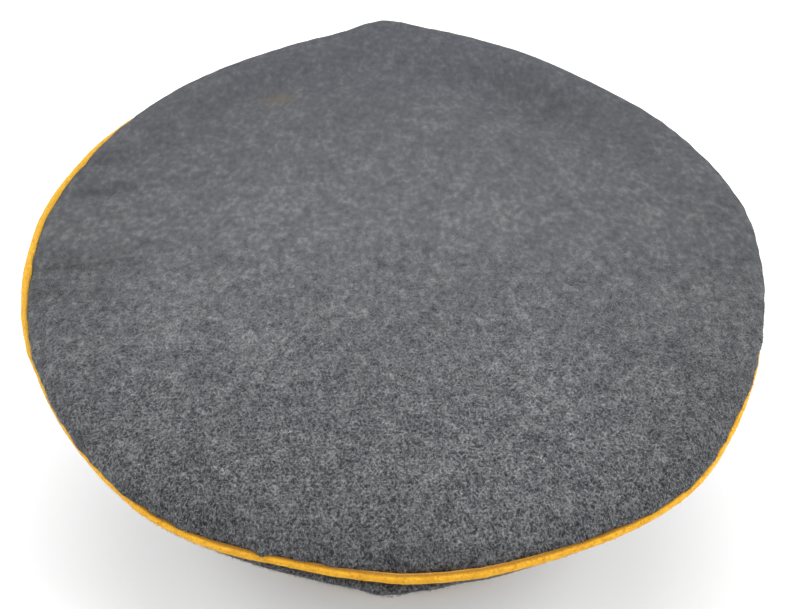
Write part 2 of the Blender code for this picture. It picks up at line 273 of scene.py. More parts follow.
def unit(vectors):
    """Vectors made 1 long."""
    return vectors / np.maximum(np.linalg.norm(vectors, axis=-1, keepdims=True), 1e-12)


def outward(outline, bearing):
    """The level direction straight out of an outline."""
    along = outline(bearing + 0.5) - outline(bearing - 0.5)
    return unit(np.stack([along[..., 1], -along[..., 0], np.zeros_like(along[..., 0])], -1))


# %% [markdown]
# ### The band's oval
#
# The band grips the head in an oval. Behind the ears it stands on the table, and in front it lifts
# smoothly over the peak. A power of a cosine gives that lift without a kink.

# %% Draw the band's oval
LIFT_START = 0.40
LIFT_POWER = 1.6


def band_outline(bearing, offset=0.0):
    """The band's outer oval, or one drawn outside it."""
    half_length = BAND_HALF_LENGTH + offset
    plan = oval(bearing, BAND_HALF_WIDTH + offset, half_length, half_length)
    return plan + np.array([0.0, MIDDLE_Y, 0.0])


def band_lift(bearing):
    """Height of the band's lower rim above the table."""
    along = 0.5 + 0.5 * np.cos(np.radians(bearing))
    share = np.maximum(0.0, (along - LIFT_START) / (1.0 - LIFT_START))
    return FRONT_LIFT * share**LIFT_POWER


def band_point(bearing, offset, height):
    """Points beside the band: outside its outer face, and above its lower rim."""
    return band_outline(bearing, offset) + UP * (band_lift(bearing) + height)[..., None]


print("the band lifts by", round(float(band_lift(0.0)) * 1000, 1), "mm in front")

# %% [markdown]
# ### The crown's seam
#
# The seam carries the whole crown: its top hangs inside it and its panels below it. An oval with a
# power other than two is fuller or more pointed, which suits the round back and the drawn-in
# front. The table of worn places is the solids' own, with three finer rows at its end. Their moves
# out and up are shares of half the crown's width, so the wear grows with the cap.

# %% Shape the seam
CROWN_WIDTH = 0.279
HALF_WIDTH = CROWN_WIDTH / 2
CROWN_FRONT_REACH = 0.113
CROWN_REAR_REACH = 0.149
CROWN_FRONT_POWER = 1.88
CROWN_REAR_POWER = 2.14
HOOP_AHEAD_OF_BAND = 0.003
SEAM_SHAPING = (
    # name, bearing, spread, out, up
    ("front peak", 4.5, 5.0, 0.000, 0.023),
    ("front rise", 0.0, 15.0, 0.000, 0.026),
    ("right front dip", -38.0, 20.5, 0.000, -0.0085),
    ("left temple", 52.0, 12.0, 0.006, 0.000),
    ("left front corner", 77.0, 11.0, -0.009, 0.000),
    ("right front corner", -48.0, 18.0, -0.012, 0.000),
    ("left back corner", 130.0, 12.0, -0.022, 0.000),
    ("left of the back", 166.0, 9.0, -0.016, 0.000),
    ("right side", -110.0, 8.0, -0.004, 0.000),
    ("right of the back", -156.0, 11.0, -0.008, 0.000),
    ("left side", 90.0, 30.0, 0.010, 0.000),
    ("left rear", 130.0, 20.0, 0.015, 0.000),
    ("right", -95.0, 40.0, 0.011, 0.000),
    ("right front", -58.0, 12.0, 0.013, 0.000),
    ("right rear", -141.0, 13.0, 0.019, 0.000),
    ("left edge", 98.0, 15.0, -0.006, 0.000),
    ("left back edge", 130.0, 7.0, 0.006, 0.000),
    ("right back edge", -128.0, 7.0, -0.005, 0.000),
)


def seam_outline(bearing):
    """The crown's seam in plan."""
    reaches = CROWN_FRONT_REACH, CROWN_REAR_REACH
    plan = oval(bearing, HALF_WIDTH, *reaches, CROWN_FRONT_POWER, CROWN_REAR_POWER)
    out = sum(row[3] * bell(bearing, row[1], row[2]) for row in SEAM_SHAPING)
    plan = plan + unit(plan) * (out * HALF_WIDTH)[..., None]
    return plan + np.array([0.0, MIDDLE_Y - HOOP_AHEAD_OF_BAND, 0.0])


print("worn places along the seam:", ", ".join(row[0] for row in SEAM_SHAPING))

# %% Raise the seam
SEAM_HEIGHT_FRONT = 0.126
SEAM_HEIGHT_SIDE = 0.090
SEAM_HEIGHT_REAR = 0.059


def seam_height(bearing):
    """Height of the crown's seam: high in front, low behind, with a peak over the forehead."""
    turn = np.radians(bearing)
    middle = (SEAM_HEIGHT_FRONT + SEAM_HEIGHT_REAR) / 2
    slope = (SEAM_HEIGHT_FRONT - SEAM_HEIGHT_REAR) / 2
    saddle = (middle - SEAM_HEIGHT_SIDE) / 2
    height = (middle + SEAM_HEIGHT_SIDE) / 2 + slope * np.cos(turn) + saddle * np.cos(2 * turn)
    up = sum(row[4] * bell(bearing, row[1], row[2]) for row in SEAM_SHAPING)
    return height + up * HALF_WIDTH


def top_rim(bearing):
    """The lower outer corner of the top cloth."""
    rim = seam_outline(bearing) - outward(seam_outline, bearing) * SEWN_GAP
    return rim + UP * seam_height(bearing)[..., None]


quarters = np.array([0.0, 90.0, 180.0, 270.0])
print("seam height, mm, each quarter:", (seam_height(quarters) * 1000).round(1))

# %% [markdown]
# ### Where the crown's cord lies
#
# The piping is sewn in with the seam, but it doesn't lie evenly. At the back it stands out beside
# the top's edge, at the left it rides up against it, and at the front it is tucked down under the
# roll. One offset would make it look printed on, so a table says how it lies all round.

# %% Seat the crown's cord
CORD_SEAT = (
    # bearing, out (mm), down (mm), thickness as a share of the usual
    (0.0, -1.2, 1.5, 1.0),
    (45.0, -1.4, 1.4, 1.0),
    (56.0, -0.8, 0.5, 1.0),
    (63.0, -0.4, -0.6, 1.0),
    (70.0, 0.3, -0.9, 1.0),
    (78.0, -0.1, -1.2, 1.0),
    (85.0, 0.0, -1.3, 1.0),
    (92.0, 0.8, -1.0, 1.0),
    (100.0, 1.3, -0.4, 1.14),
    (108.0, 0.9, -0.5, 1.0),
    (114.0, 0.1, 0.5, 1.0),
    (120.0, -0.9, 0.7, 1.0),
    (130.0, -1.2, 0.9, 1.0),
    (142.0, -1.0, 1.2, 1.0),
    (150.0, -0.2, 1.5, 1.0),
    (162.0, 0.8, 1.3, 1.0),
    (168.0, 0.4, 1.3, 1.0),
    (176.0, 0.9, 0.7, 1.0),
    (182.0, 2.0, 0.2, 1.06),
    (190.0, 1.8, 0.1, 1.06),
    (196.0, 1.2, 0.4, 1.0),
    (206.0, 0.3, 1.4, 1.0),
    (218.0, -0.4, 1.4, 1.0),
    (232.0, -0.4, 0.6, 1.0),
    (240.0, -1.1, 0.8, 1.0),
    (250.0, -1.6, 1.3, 1.0),
    (300.0, -1.5, 1.4, 1.0),
)
MILLIMETRE = 0.001


def crown_cord_centre(bearing):
    """The cord stands beside the top's rim, or is tucked down under it where it hides."""
    out = around(CORD_SEAT, bearing, 1)[..., None] * MILLIMETRE
    down = around(CORD_SEAT, bearing, 2)[..., None] * MILLIMETRE
    return top_rim(bearing) + outward(seam_outline, bearing) * out - UP * down


bearings = np.arange(0.0, 360.0, 1.0)
steps = np.diff(crown_cord_centre(bearings), axis=0)
print("the crown's cord is", round(float(np.linalg.norm(steps, axis=1).sum()), 3), "m long")

# %% [markdown]
# ## Cloth drawn over the hoop
#
# Cloth that is sewn tight to a bent hoop takes the shape of a drum skin. Its height inside the
# hoop follows from the seam's height: each wave of the seam fades towards the middle, quick waves
# faster than slow ones. So the height is a sum of waves, each times its own power of the radius,
# and no simulation is needed.

# %% Stretch the drum skin
HARMONICS = 24


def drum_waves(samples=720):
    """Waves of the seam's height, slow ones first."""
    turns = 360.0 * np.arange(samples) / samples
    spectrum = np.fft.rfft(seam_height(turns)) / samples
    waves = 2 * spectrum[: HARMONICS + 1]
    waves[0] /= 2
    return waves


DRUM = drum_waves()


def drum_height(bearing, across):
    """Height of the tight cloth, across from 0 in the middle to 1 at the seam."""
    turn = np.radians(bearing)
    height = np.full(np.shape(turn), DRUM[0].real)
    for order, wave in enumerate(DRUM[1:], start=1):
        height = height + across**order * (wave * np.exp(1j * order * turn)).real
    return height


print("the drum skin's middle lies at", round(float(DRUM[0].real) * 1000, 1), "mm")

# %% [markdown]
# ## Sheets
#
# A piece could be pushed into shape point by point. Here a place function says where each point of
# a grid goes. Blender makes the flat grid, numpy moves all its points at once, and points that
# meet are welded, so that a ring or a tube closes by itself.


# %% Make an even roughness
def steady_noise(seed, waves, count=24):
    """A smooth, repeatable noise of two angles or lengths: a sum of waves in fixed directions."""
    draw = np.random.default_rng(seed)
    heading = draw.uniform(0, 2 * math.pi, count)
    pace = draw.uniform(0.5, 1.5, count) * waves
    start = draw.uniform(0, 2 * math.pi, count)

    def value(first, second):
        total = 0.0
        for angle, step, phase in zip(heading, pace, start):
            total = total + np.sin(step * (math.cos(angle) * first + math.sin(angle) * second) + phase)
        return total / math.sqrt(count / 2)

    return value


# %% Make a sheet from a place function
WELD = 2e-6


def mesh_of(name, columns, rows, place, material):
    """A grid of quads whose points come from place(along, share), welded where its ends meet."""
    form = bmesh.new()
    bmesh.ops.create_grid(form, x_segments=columns, y_segments=rows, size=0.5)
    mesh = bpy.data.meshes.new(name)
    form.to_mesh(mesh)
    form.free()
    flat = np.zeros(len(mesh.vertices) * 3)
    mesh.vertices.foreach_get("co", flat)
    flat = flat.reshape(-1, 3) + 0.5
    points = place(flat[:, 0], flat[:, 1])
    mesh.vertices.foreach_set("co", points.astype(np.float32).ravel())
    form = bmesh.new()
    form.from_mesh(mesh)
    bmesh.ops.remove_doubles(form, verts=form.verts, dist=WELD)
    form.to_mesh(mesh)
    form.free()
    mesh.materials.append(material)
    mesh.shade_smooth()
    mesh.update()
    piece = bpy.data.objects.new(name, mesh)
    bpy.context.scene.collection.objects.link(piece)
    return piece


# %% Thicken a sheet and give it its place
def add_wall(piece, thickness):
    """Thickens a sheet inwards and applies it."""
    thick = piece.modifiers.new("wall", "SOLIDIFY")
    thick.thickness = thickness
    thick.offset = -1.0
    bpy.context.view_layer.update()
    ready = piece.evaluated_get(bpy.context.evaluated_depsgraph_get())
    mesh = bpy.data.meshes.new_from_object(ready)
    piece.modifiers.clear()
    piece.data = mesh


def measured(piece, node):
    """Prints how far a piece's box is from its solid's."""
    corners = np.array([tuple(vertex.co) for vertex in piece.data.vertices])
    low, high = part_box(node)
    over = (np.array(low) - corners.min(0)).max(), (corners.max(0) - np.array(high)).max()
    print(f"{piece.name}: {len(piece.data.polygons)} faces, past its solid by {max(over)*1000:.2f} mm")


def take_place(piece, slot, *nodes):
    """The piece rides on the cap's one body and stands for nodes. Its slot is not used."""
    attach(piece, "root")
    if nodes:
        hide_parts(*nodes)
        measured(piece, nodes[0])


# %% [markdown]
# ## Finishes
#
# Each finish is a small node tree. Trees can be drawn by hand in the shader editor, but a script
# can be read and changed. A helper adds a node, sets its inputs and links the ones that are given
# as sockets, so that a tree reads as a short list. Textures use object coordinates in metres: a
# scale of 1000 gives spots about a millimetre across.


# %% A short way to write node trees
class Finish:
    """One material under construction."""

    def __init__(self, name):
        self.material = bpy.data.materials.new(name)
        self.material.use_nodes = True
        self.tree = self.material.node_tree
        self.shader = self.tree.nodes["Principled BSDF"]
        self.place = self.add("ShaderNodeTexCoord").outputs["Object"]

    def set(self, node, name, value):
        """Links a socket, or sets a plain value."""
        socket = node.inputs[name]
        if isinstance(value, bpy.types.NodeSocket):
            self.tree.links.new(value, socket)
        else:
            socket.default_value = value

    def add(self, kind, settings=None, **values):
        """A node with its settings and inputs."""
        node = self.tree.nodes.new(kind)
        for key, value in (settings or {}).items():
            setattr(node, key, value)
        for key, value in values.items():
            self.set(node, key, value)
        return node

    def axis(self, vector, name):
        """One part of a vector, X, Y or Z."""
        return self.add("ShaderNodeSeparateXYZ", None, Vector=vector).outputs[name]

    def noise(self, scale, detail=2.0, place=None, roughness=0.5):
        """A noise between 0 and 1."""
        node = self.add("ShaderNodeTexNoise", None, Vector=place or self.place, Scale=scale)
        self.set(node, "Detail", detail)
        self.set(node, "Roughness", roughness)
        return node.outputs["Fac"]

    def cells(self, scale):
        """Distances to the middles of small cells, for a pebbled grain."""
        node = self.add("ShaderNodeTexVoronoi", None, Vector=self.place, Scale=scale)
        return node.outputs["Distance"]

    def stretched(self, turn, scale):
        """The coordinates turned and stretched, for streaks."""
        node = self.add("ShaderNodeMapping", {"vector_type": "TEXTURE"}, Vector=self.place)
        node.inputs["Rotation"].default_value = [math.radians(value) for value in turn]
        node.inputs["Scale"].default_value = scale
        return node.outputs["Vector"]

    def distance(self, middle, reach):
        """How far a place is from a middle, as a share of the reach along each axis."""
        node = self.add("ShaderNodeMapping", {"vector_type": "TEXTURE"}, Vector=self.place)
        node.inputs["Location"].default_value = middle
        node.inputs["Scale"].default_value = reach
        length = self.add("ShaderNodeVectorMath", {"operation": "LENGTH"}, Vector=node.outputs["Vector"])
        return length.outputs["Value"]

    def ramp(self, value, low, high, start=0.0, end=1.0):
        """Maps a range of a value to another range, held at its ends."""
        node = self.add("ShaderNodeMapRange", {"clamp": True}, Value=value)
        for key, number in zip(("From Min", "From Max", "To Min", "To Max"), (low, high, start, end)):
            node.inputs[key].default_value = number
        return node.outputs["Result"]

    def dyed(self, value, stops):
        """A value turned to a colour by rows of position and colour, lowest first."""
        node = self.add("ShaderNodeValToRGB", None, Fac=value)
        row = node.color_ramp.elements
        for position, _ in stops[1:-1]:
            row.new(position)
        for element, (position, colour) in zip(row, stops):
            element.position = position
            element.color = (*colour, 1.0)
        return node.outputs["Color"]

    def mix(self, share, first, second, blend="MIX"):
        """A mix of two colours."""
        node = self.add("ShaderNodeMix", {"data_type": "RGBA", "blend_type": blend})
        self.set(node, 0, share)
        for socket, value in ((6, first), (7, second)):
            self.set(node, socket, value if isinstance(value, bpy.types.NodeSocket) else (*value, 1.0))
        return node.outputs[2]

    def math(self, operation, first, second=0.0):
        """One sum."""
        node = self.add("ShaderNodeMath", {"operation": operation})
        self.set(node, 0, first)
        self.set(node, 1, second)
        return node.outputs[0]

    def bump(self, height, distance, strength=1.0):
        """A bump of a real depth in metres."""
        node = self.add("ShaderNodeBump", None, Height=height)
        node.inputs["Distance"].default_value = distance
        node.inputs["Strength"].default_value = strength
        return node.outputs["Normal"]

    def done(self, **values):
        """Sets the shader's own inputs. Their spaces are written as underscores."""
        for key, value in values.items():
            self.set(self.shader, key.replace("_", " "), value)
        return self.material


# %% [markdown]
# ### Grey melange wool
#
# The cloth is spun from light and dark fibres, so close up it is a salt-and-pepper of short
# streaks. An even grey with one noise looks like stone. Here four noises, from broad clouds down
# to flecks, and a fifth whose ridges curl like hairs, add up to one tone, and the tone picks a dye
# between nearly black and light grey. The noises are stretched across the cap, as the fibres lie.

# %% Choose the wool's tones
WOOL_LAYERS = {
    # layer: scale, detail, roughness, change of tone
    "clouds": (42.0, 2.0, 0.5, 0.025),
    "blotches": (230.0, 1.0, 0.5, 0.065),
    "spots": (620.0, 2.0, 0.5, 0.10),
    "flecks": (1500.0, 3.0, 0.7, 0.24),
}
WOOL_DYES = (
    # tone, colour
    (0.0, (0.0105, 0.011, 0.0175)),
    (0.3, (0.054, 0.056, 0.064)),
    (0.5, (0.1185, 0.1215, 0.1285)),
    (1.0, (0.423, 0.429, 0.438)),
)
MIDDLE_TONE = 0.489
CURLED = {"Scale": 1000.0, "Detail": 2.0, "Roughness": 0.6, "Offset": 1.0, "Gain": 1.6}


def wool_layer(wool, name, place=None):
    """One noise of the wool, as a change of tone to both sides."""
    scale, detail, roughness, change = WOOL_LAYERS[name]
    return wool.ramp(wool.noise(scale, detail, place, roughness), 0.25, 0.75, -change, change)


def curled_hairs(wool, place):
    """Thin curled lines: the ridges of a noise."""
    settings = {"noise_type": "RIDGED_MULTIFRACTAL"}
    ridges = wool.add("ShaderNodeTexNoise", settings, Vector=place, **CURLED).outputs["Fac"]
    return wool.ramp(ridges, 0.6, 2.2, -0.20, 0.25)


print("wool layers:", ", ".join(WOOL_LAYERS))

# %% [markdown]
# ### Painted light and shade on the wool
#
# Painted shade darkens the top towards its edges and over its roll, and the panels all over.
# Soft places paint lighter and darker patches of light and shade, with painted shade in the creases
# at the left and in the valley right of the point. A small brown stain is the cloth's own. One
# picture laid over the cloth would fix all that, but a picture can't be changed later. A broad oval
# and a table of soft places do the same.

# %% Mark the painted light and shade and the stain
ANY_HEIGHT = 100.0
SHADE_MIDDLE = (0.002, 0.048, 0.0)
SHADE_REACH = (0.141, 0.133, ANY_HEIGHT)
STAIN_MIDDLE = (0.0513, -0.0756, 0.0)
STAIN_REACH = (0.011, 0.006, ANY_HEIGHT)
STAIN_COLOUR = (0.170, 0.140, 0.095)

# Each of these is a ramp: where it starts and ends, and the values at both.
# Painted shade: darker from the middle out to the rim and the roll, and darkest on the panels.
EDGE_SHADE = (0.35, 1.05, 0.94, 0.67)
STAIN_FADE = (0.2, 1.0, 0.45, 0.0)
FRONT_BLUE = (-0.11, -0.02, 1.05, 1.0)
# Painted light and shade: soft lighter and darker patches, with painted shade in the creases at the left and
# in the valley right of the point.
LIGHT_AND_SHADE_PATCHES = (
    # x and y, reach in x and y, how much lighter
    ((0.094, 0.066), (0.050, 0.050), 0.14),
    ((-0.060, 0.104), (0.060, 0.060), 0.15),
    ((0.004, 0.118), (0.060, 0.022), 0.08),
    ((-0.112, 0.084), (0.034, 0.034), -0.10),
    ((0.004, 0.150), (0.040, 0.034), -0.10),
    ((-0.005, 0.020), (0.085, 0.045), -0.10),
    ((-0.062, -0.070), (0.030, 0.014), -0.06),
    ((-0.120, -0.066), (0.040, 0.040), -0.03),
    ((0.120, 0.0160), (0.030, 0.0050), -0.30),
    ((0.122, 0.0300), (0.020, 0.0045), -0.20),
    ((0.118, -0.0270), (0.023, 0.0045), -0.13),
    ((0.119, -0.0450), (0.018, 0.0050), -0.15),
    ((0.118, -0.0365), (0.020, 0.0035), 0.06),
    ((0.125, -0.0110), (0.014, 0.0050), 0.06),
    ((0.1055, 0.0125), (0.008, 0.0016), 0.16),
)


# Paints shade at the edges and light and shade in patches, besides the cloth's own brown stain.
def worn(wool, colour):
    """The wool's colour with painted shade at its edges, painted light and shade in soft patches, and a brown
    stain.
    """
    painted_shade = wool.ramp(wool.distance(SHADE_MIDDLE, SHADE_REACH), *EDGE_SHADE)
    for place, reach, rise in LIGHT_AND_SHADE_PATCHES:
        # Each soft place paints light or shade.
        rubbed = wool.ramp(wool.distance((*place, 0.0), (*reach, ANY_HEIGHT)), 0.0, 1.0, rise, 0.0)
        painted_shade = wool.math("ADD", painted_shade, rubbed)
    blue = wool.math("MULTIPLY", painted_shade, wool.ramp(wool.axis(wool.place, "Y"), *FRONT_BLUE))
    shade = wool.add("ShaderNodeCombineColor", None, Red=painted_shade, Green=painted_shade, Blue=blue)
    stain = wool.ramp(wool.distance(STAIN_MIDDLE, STAIN_REACH), *STAIN_FADE)
    colour = wool.mix(stain, colour, STAIN_COLOUR)
    return wool.mix(1.0, colour, shade.outputs["Color"], "MULTIPLY")


print("patches of painted light and shade:", len(LIGHT_AND_SHADE_PATCHES))

# %% [markdown]
# ### The wool of the top and of the panels
#
# Towards the front the top is smoother to the eye: its fibres lie flat there and catch no light of
# their own. The fine layers fade out along it. The panels are brushed evenly, so they keep the
# full grain everywhere. That makes two finishes from one recipe.

# %% Mix the wool
HEADINGS = (
    # turn in degrees, how many times longer along each axis
    ((0, 0, 0), (1.25, 1.55, 1.6)),
    ((25, 10, 10), (1.25, 1.40, 1.35)),
    ((10, 50, 65), (1.0, 1.0, 1.0)),
)

# These are ramps too: where they start and end, and the values at both.
GRAIN_FADE = (0.00, 0.11, 0.04, 1.0)
MOTTLE_FADE = (-0.07, 0.03, 0.6, 1.0)
WARM_FIBRE = (0.125, 0.118, 0.100)
WARM_SHARE = (0.58, 0.75, 0.0, 0.4)
WOOL_RELIEF = 0.0006


def mix_wool(name, smooth_in_front):
    """Melange wool, with all its grain or with less of it towards the front."""
    wool = Finish(name)
    brushed, aside, across = [wool.stretched(*heading) for heading in HEADINGS]
    raised = 1.0
    mottled = 1.0
    if smooth_in_front:
        raised = wool.ramp(wool.axis(wool.place, "Y"), *GRAIN_FADE)
        mottled = wool.ramp(wool.axis(wool.place, "Y"), *MOTTLE_FADE)
    broad = wool.math("ADD", wool_layer(wool, "clouds"), wool_layer(wool, "blotches", aside))
    broad = wool.math("ADD", broad, wool_layer(wool, "spots", brushed))
    broad = wool.math("MULTIPLY", broad, mottled)
    fine = wool.math("ADD", wool_layer(wool, "flecks", aside), curled_hairs(wool, brushed))
    fine = wool.math("MULTIPLY", fine, raised)
    tone = wool.math("ADD", wool.math("ADD", broad, fine), MIDDLE_TONE)
    warm = wool.ramp(wool.noise(800.0, 1.0, across), *WARM_SHARE)
    colour = wool.mix(warm, wool.dyed(tone, WOOL_DYES), WARM_FIBRE)
    return wool.done(
        Base_Color=worn(wool, colour),
        Roughness=0.95,
        Normal=wool.bump(fine, WOOL_RELIEF, 0.6),
        Sheen_Weight=0.02,
        Sheen_Roughness=0.5,
        Specular_IOR_Level=0.0,
    )


# Both finishes carry the painted light and shade; the panels take the painted shade at its darkest.
WOOL = mix_wool("grey_wool", True)
PANEL_WOOL = mix_wool("grey_panel_wool", False)
print(WOOL.name, "has", len(WOOL.node_tree.nodes), "nodes")

# %% [markdown]
# ### Yellow felted cord
#
# The piping is a cord covered in golden yellow felted wool. Seen close, its colour is a mottle of
# orange and pale fibres. Painted shade makes it duller at the left, and along the top of the cord
# at the back a painted shadow of the cloth's edge makes it nearly brown. The surface's own
# direction tells where the top of the cord is, so the shadow needs no line of its own.


# %% Mix the felt
def mix_felt():
    """Mottled golden felt, with a painted shadow along its top at the back and painted shade at the left."""
    felt = Finish("yellow_felt")
    cloud = felt.noise(260.0, 3.0)
    spots = felt.noise(950.0, 2.0, roughness=0.6)
    fine = felt.noise(2600.0, 2.0)
    colour = felt.mix(felt.ramp(cloud, 0.3, 0.7), (0.74, 0.37, 0.020), (0.90, 0.49, 0.035))
    colour = felt.mix(felt.ramp(spots, 0.50, 0.70, 0.0, 0.8), colour, (0.56, 0.24, 0.010))
    colour = felt.mix(felt.ramp(fine, 0.55, 0.75, 0.0, 0.4), colour, (0.90, 0.55, 0.10))
    # Painted shadow: nearly brown along the top of the cord at the back, under the cloth's edge.
    facing = felt.add("ShaderNodeNewGeometry").outputs["Normal"]
    upright = felt.ramp(felt.axis(facing, "Z"), 0.80, 1.0, 0.0, 0.85)
    behind = felt.ramp(felt.axis(felt.place, "Y"), 0.06, 0.11)
    colour = felt.mix(felt.math("MULTIPLY", upright, behind), colour, (0.26, 0.105, 0.012))
    # Painted shade: the felt is duller towards the left.
    left_shade = felt.ramp(felt.axis(felt.place, "X"), 0.07, 0.12, 0.0, 0.4)
    colour = felt.mix(left_shade, colour, (0.52, 0.31, 0.035))
    return felt.done(
        Base_Color=colour,
        Roughness=0.95,
        Normal=felt.bump(felt.math("ADD", fine, spots), 0.0007, 0.8),
        Sheen_Weight=0.1,
        Sheen_Roughness=0.5,
        Specular_IOR_Level=0.15,
    )


FELT = mix_felt()
print(FELT.name, "has", len(FELT.node_tree.nodes), "nodes")

# %% [markdown]
# ### Ribbed cloth, lacquer and board
#
# The band is matt ribbed cloth and the peak is lacquered board, plain below. Both are black, so
# only their gloss and grain tell them apart. The lacquer is a nearly black base under a clear
# coat, with a slow swell in it, because hand-laid lacquer is never flat like glass.


# %% Mix the ribbed cloth, the lacquer and the board
def mix_ribbed():
    """Matt black cloth with a fine grain."""
    ribbed = Finish("black_ribbed_cloth")
    fine = ribbed.noise(1800.0, 3.0)
    return ribbed.done(
        Base_Color=ribbed.mix(ribbed.ramp(fine, 0.35, 0.75), (0.008, 0.008, 0.010), (0.024, 0.024, 0.028)),
        Roughness=0.75,
        Normal=ribbed.bump(fine, 0.0002, 0.6),
        Sheen_Weight=0.08,
        Specular_IOR_Level=0.3,
    )


def mix_lacquer():
    """Black lacquer, rubbed in places, under a clear coat."""
    lacquer = Finish("black_lacquer")
    swell = lacquer.noise(45.0, 2.0)
    rubbed = lacquer.noise(420.0, 5.0, roughness=0.7)
    return lacquer.done(
        Base_Color=(0.006, 0.006, 0.007, 1.0),
        Roughness=lacquer.ramp(rubbed, 0.45, 0.75, 0.12, 0.30),
        Normal=lacquer.bump(swell, 0.0006, 0.5),
        Coat_Weight=0.6,
        Coat_Roughness=0.06,
    )


def mix_board():
    """The peak's plain dark underside."""
    board = Finish("dark_underside")
    grain = board.noise(900.0, 4.0)
    return board.done(
        Base_Color=board.mix(board.ramp(grain, 0.35, 0.7), (0.018, 0.016, 0.014), (0.045, 0.040, 0.036)),
        Roughness=0.65,
        Normal=board.bump(grain, 0.0002, 0.5),
    )


RIBBED = mix_ribbed()
LACQUER = mix_lacquer()
UNDERSIDE = mix_board()
print("black finishes:", RIBBED.name, LACQUER.name, UNDERSIDE.name)

# %% [markdown]
# ### Leather, enamel and metal
#
# The strap is dressed leather with a pebbled grain and brown rubbed through the black. Its slides
# are black enamelled metal, chipped at fine specks, and the buttons are grey metal with the small
# pits of a grained cap button. A cell pattern gives both grains.


# %% Mix the leather, the enamel and the metal
def mix_leather():
    """Black leather, rubbed brown."""
    leather = Finish("black_leather")
    grain = leather.cells(1500.0)
    rubbed = leather.noise(150.0, 5.0, roughness=0.65)
    return leather.done(
        Base_Color=leather.mix(leather.ramp(rubbed, 0.5, 0.8), (0.010, 0.009, 0.009), (0.045, 0.038, 0.034)),
        Roughness=leather.ramp(rubbed, 0.35, 0.75, 0.32, 0.55),
        Normal=leather.bump(grain, 0.00012, 0.6),
    )


def mix_enamel():
    """Black enamel with fine worn specks."""
    enamel = Finish("black_enamel")
    rubbed = enamel.noise(700.0, 5.0, roughness=0.7)
    return enamel.done(
        Base_Color=enamel.mix(enamel.ramp(rubbed, 0.62, 0.72), (0.008, 0.008, 0.008), (0.06, 0.058, 0.055)),
        Roughness=enamel.ramp(rubbed, 0.4, 0.7, 0.18, 0.4),
        Coat_Weight=0.4,
    )


def mix_button_metal():
    """Grained grey metal."""
    metal = Finish("grained_grey_metal")
    rubbed = metal.noise(500.0, 5.0, roughness=0.7)
    return metal.done(
        Base_Color=metal.mix(metal.ramp(rubbed, 0.4, 0.7), (0.30, 0.30, 0.29), (0.50, 0.50, 0.48)),
        Metallic=1.0,
        Roughness=0.42,
        Normal=metal.bump(metal.cells(1700.0), 0.00015, 0.7),
    )


LEATHER = mix_leather()
ENAMEL = mix_enamel()
BUTTON_METAL = mix_button_metal()
print("strap finishes:", LEATHER.name, ENAMEL.name, BUTTON_METAL.name)

# %% [markdown]
# ## The crown's top
#
# The top is one round of wool, drawn over the hoop and rolled down to the seam. The roll is tight
# in front and soft at the back, and large swells and valleys show where a hand has gripped it.
# Sculpting would give them in one go; a few rows of a table give them with names.

# %% Roll the top's edge
EDGE_ROLL = (
    # bearing, width, height, as shares of half the crown's width
    (0.0, 0.045, 0.028),
    (45.0, 0.045, 0.027),
    (60.0, 0.048, 0.023),
    (72.0, 0.055, 0.016),
    (85.0, 0.060, 0.015),
    (97.0, 0.065, 0.024),
    (118.0, 0.075, 0.038),
    (142.0, 0.085, 0.042),
    (165.0, 0.100, 0.048),
    (180.0, 0.110, 0.050),
    (225.0, 0.095, 0.046),
    (244.0, 0.080, 0.043),
    (264.0, 0.070, 0.038),
    (310.0, 0.045, 0.028),
)
TOP_SHAPING = (
    # name, bearing, spread, share of the way out, reach, rise
    ("right front swell", -38.0, 24.0, 0.90, 0.09, 0.024),
    ("right front valley", -34.0, 17.0, 0.74, 0.09, -0.034),
    ("left front swell", 40.0, 26.0, 0.90, 0.10, 0.016),
    ("left front valley", 44.0, 22.0, 0.76, 0.11, -0.020),
)
TOP_RISE = 0.009
HEM = 0.0008
HEM_SHARE = 0.03


def top_height(bearing, across, share, raised, roll_height):
    """Height of the top's outer face: drum skin, hem, roll, then swells and valleys."""
    height = drum_height(bearing, across) + HEM * np.clip(share / HEM_SHARE, 0.0, 1.0) + raised
    risen = np.minimum(1.0, raised / roll_height)
    for _, centre, spread, ring, width, rise in TOP_SHAPING:
        fade = np.exp(-(((across - ring) / width) ** 2)) * risen
        height = height + rise * HALF_WIDTH * bell(bearing, centre, spread) * fade
    return height, risen


print("swells and valleys:", ", ".join(row[0] for row in TOP_SHAPING))

# %% [markdown]
# ### Creases, puckers and a dent
#
# On the finer grid the cloth also gets what sewing and wear give it: creases at the left edge, a
# fine valley right of the point, small puckers along the seam, a dent in the rim at the left back,
# and a slow unevenness. A cloth simulation could make creases, but not these ones at these places.

# %% Fold the top
TOP_FOLDS = (
    # name, x, y, heading, length, width, depth
    ("fold at the left corner", 0.122, -0.043, 90.0, 0.011, 0.0030, -0.0015),
    ("fold at the left edge", 0.118, -0.025, 92.0, 0.014, 0.0030, -0.0016),
    ("long fold on the left", 0.122, 0.013, 100.0, 0.026, 0.0035, -0.0016),
    ("valley right of the point", -0.046, -0.0680, 64.0, 0.040, 0.0080, -0.0023),
    ("ridge beside it", -0.052, -0.0845, 64.0, 0.036, 0.0085, 0.0011),
)
UNEVEN = 0.00035
PUCKER = 0.00022
PUCKER_REACH = 0.006
NICK_BEARING = 164.2
NICK_SPREAD = 0.7
NICK_DEPTH = 0.0017
NICK_REACH = 0.0012

slow_noise = steady_noise(3, 60.0)
pucker_noise = steady_noise(5, 95.0)


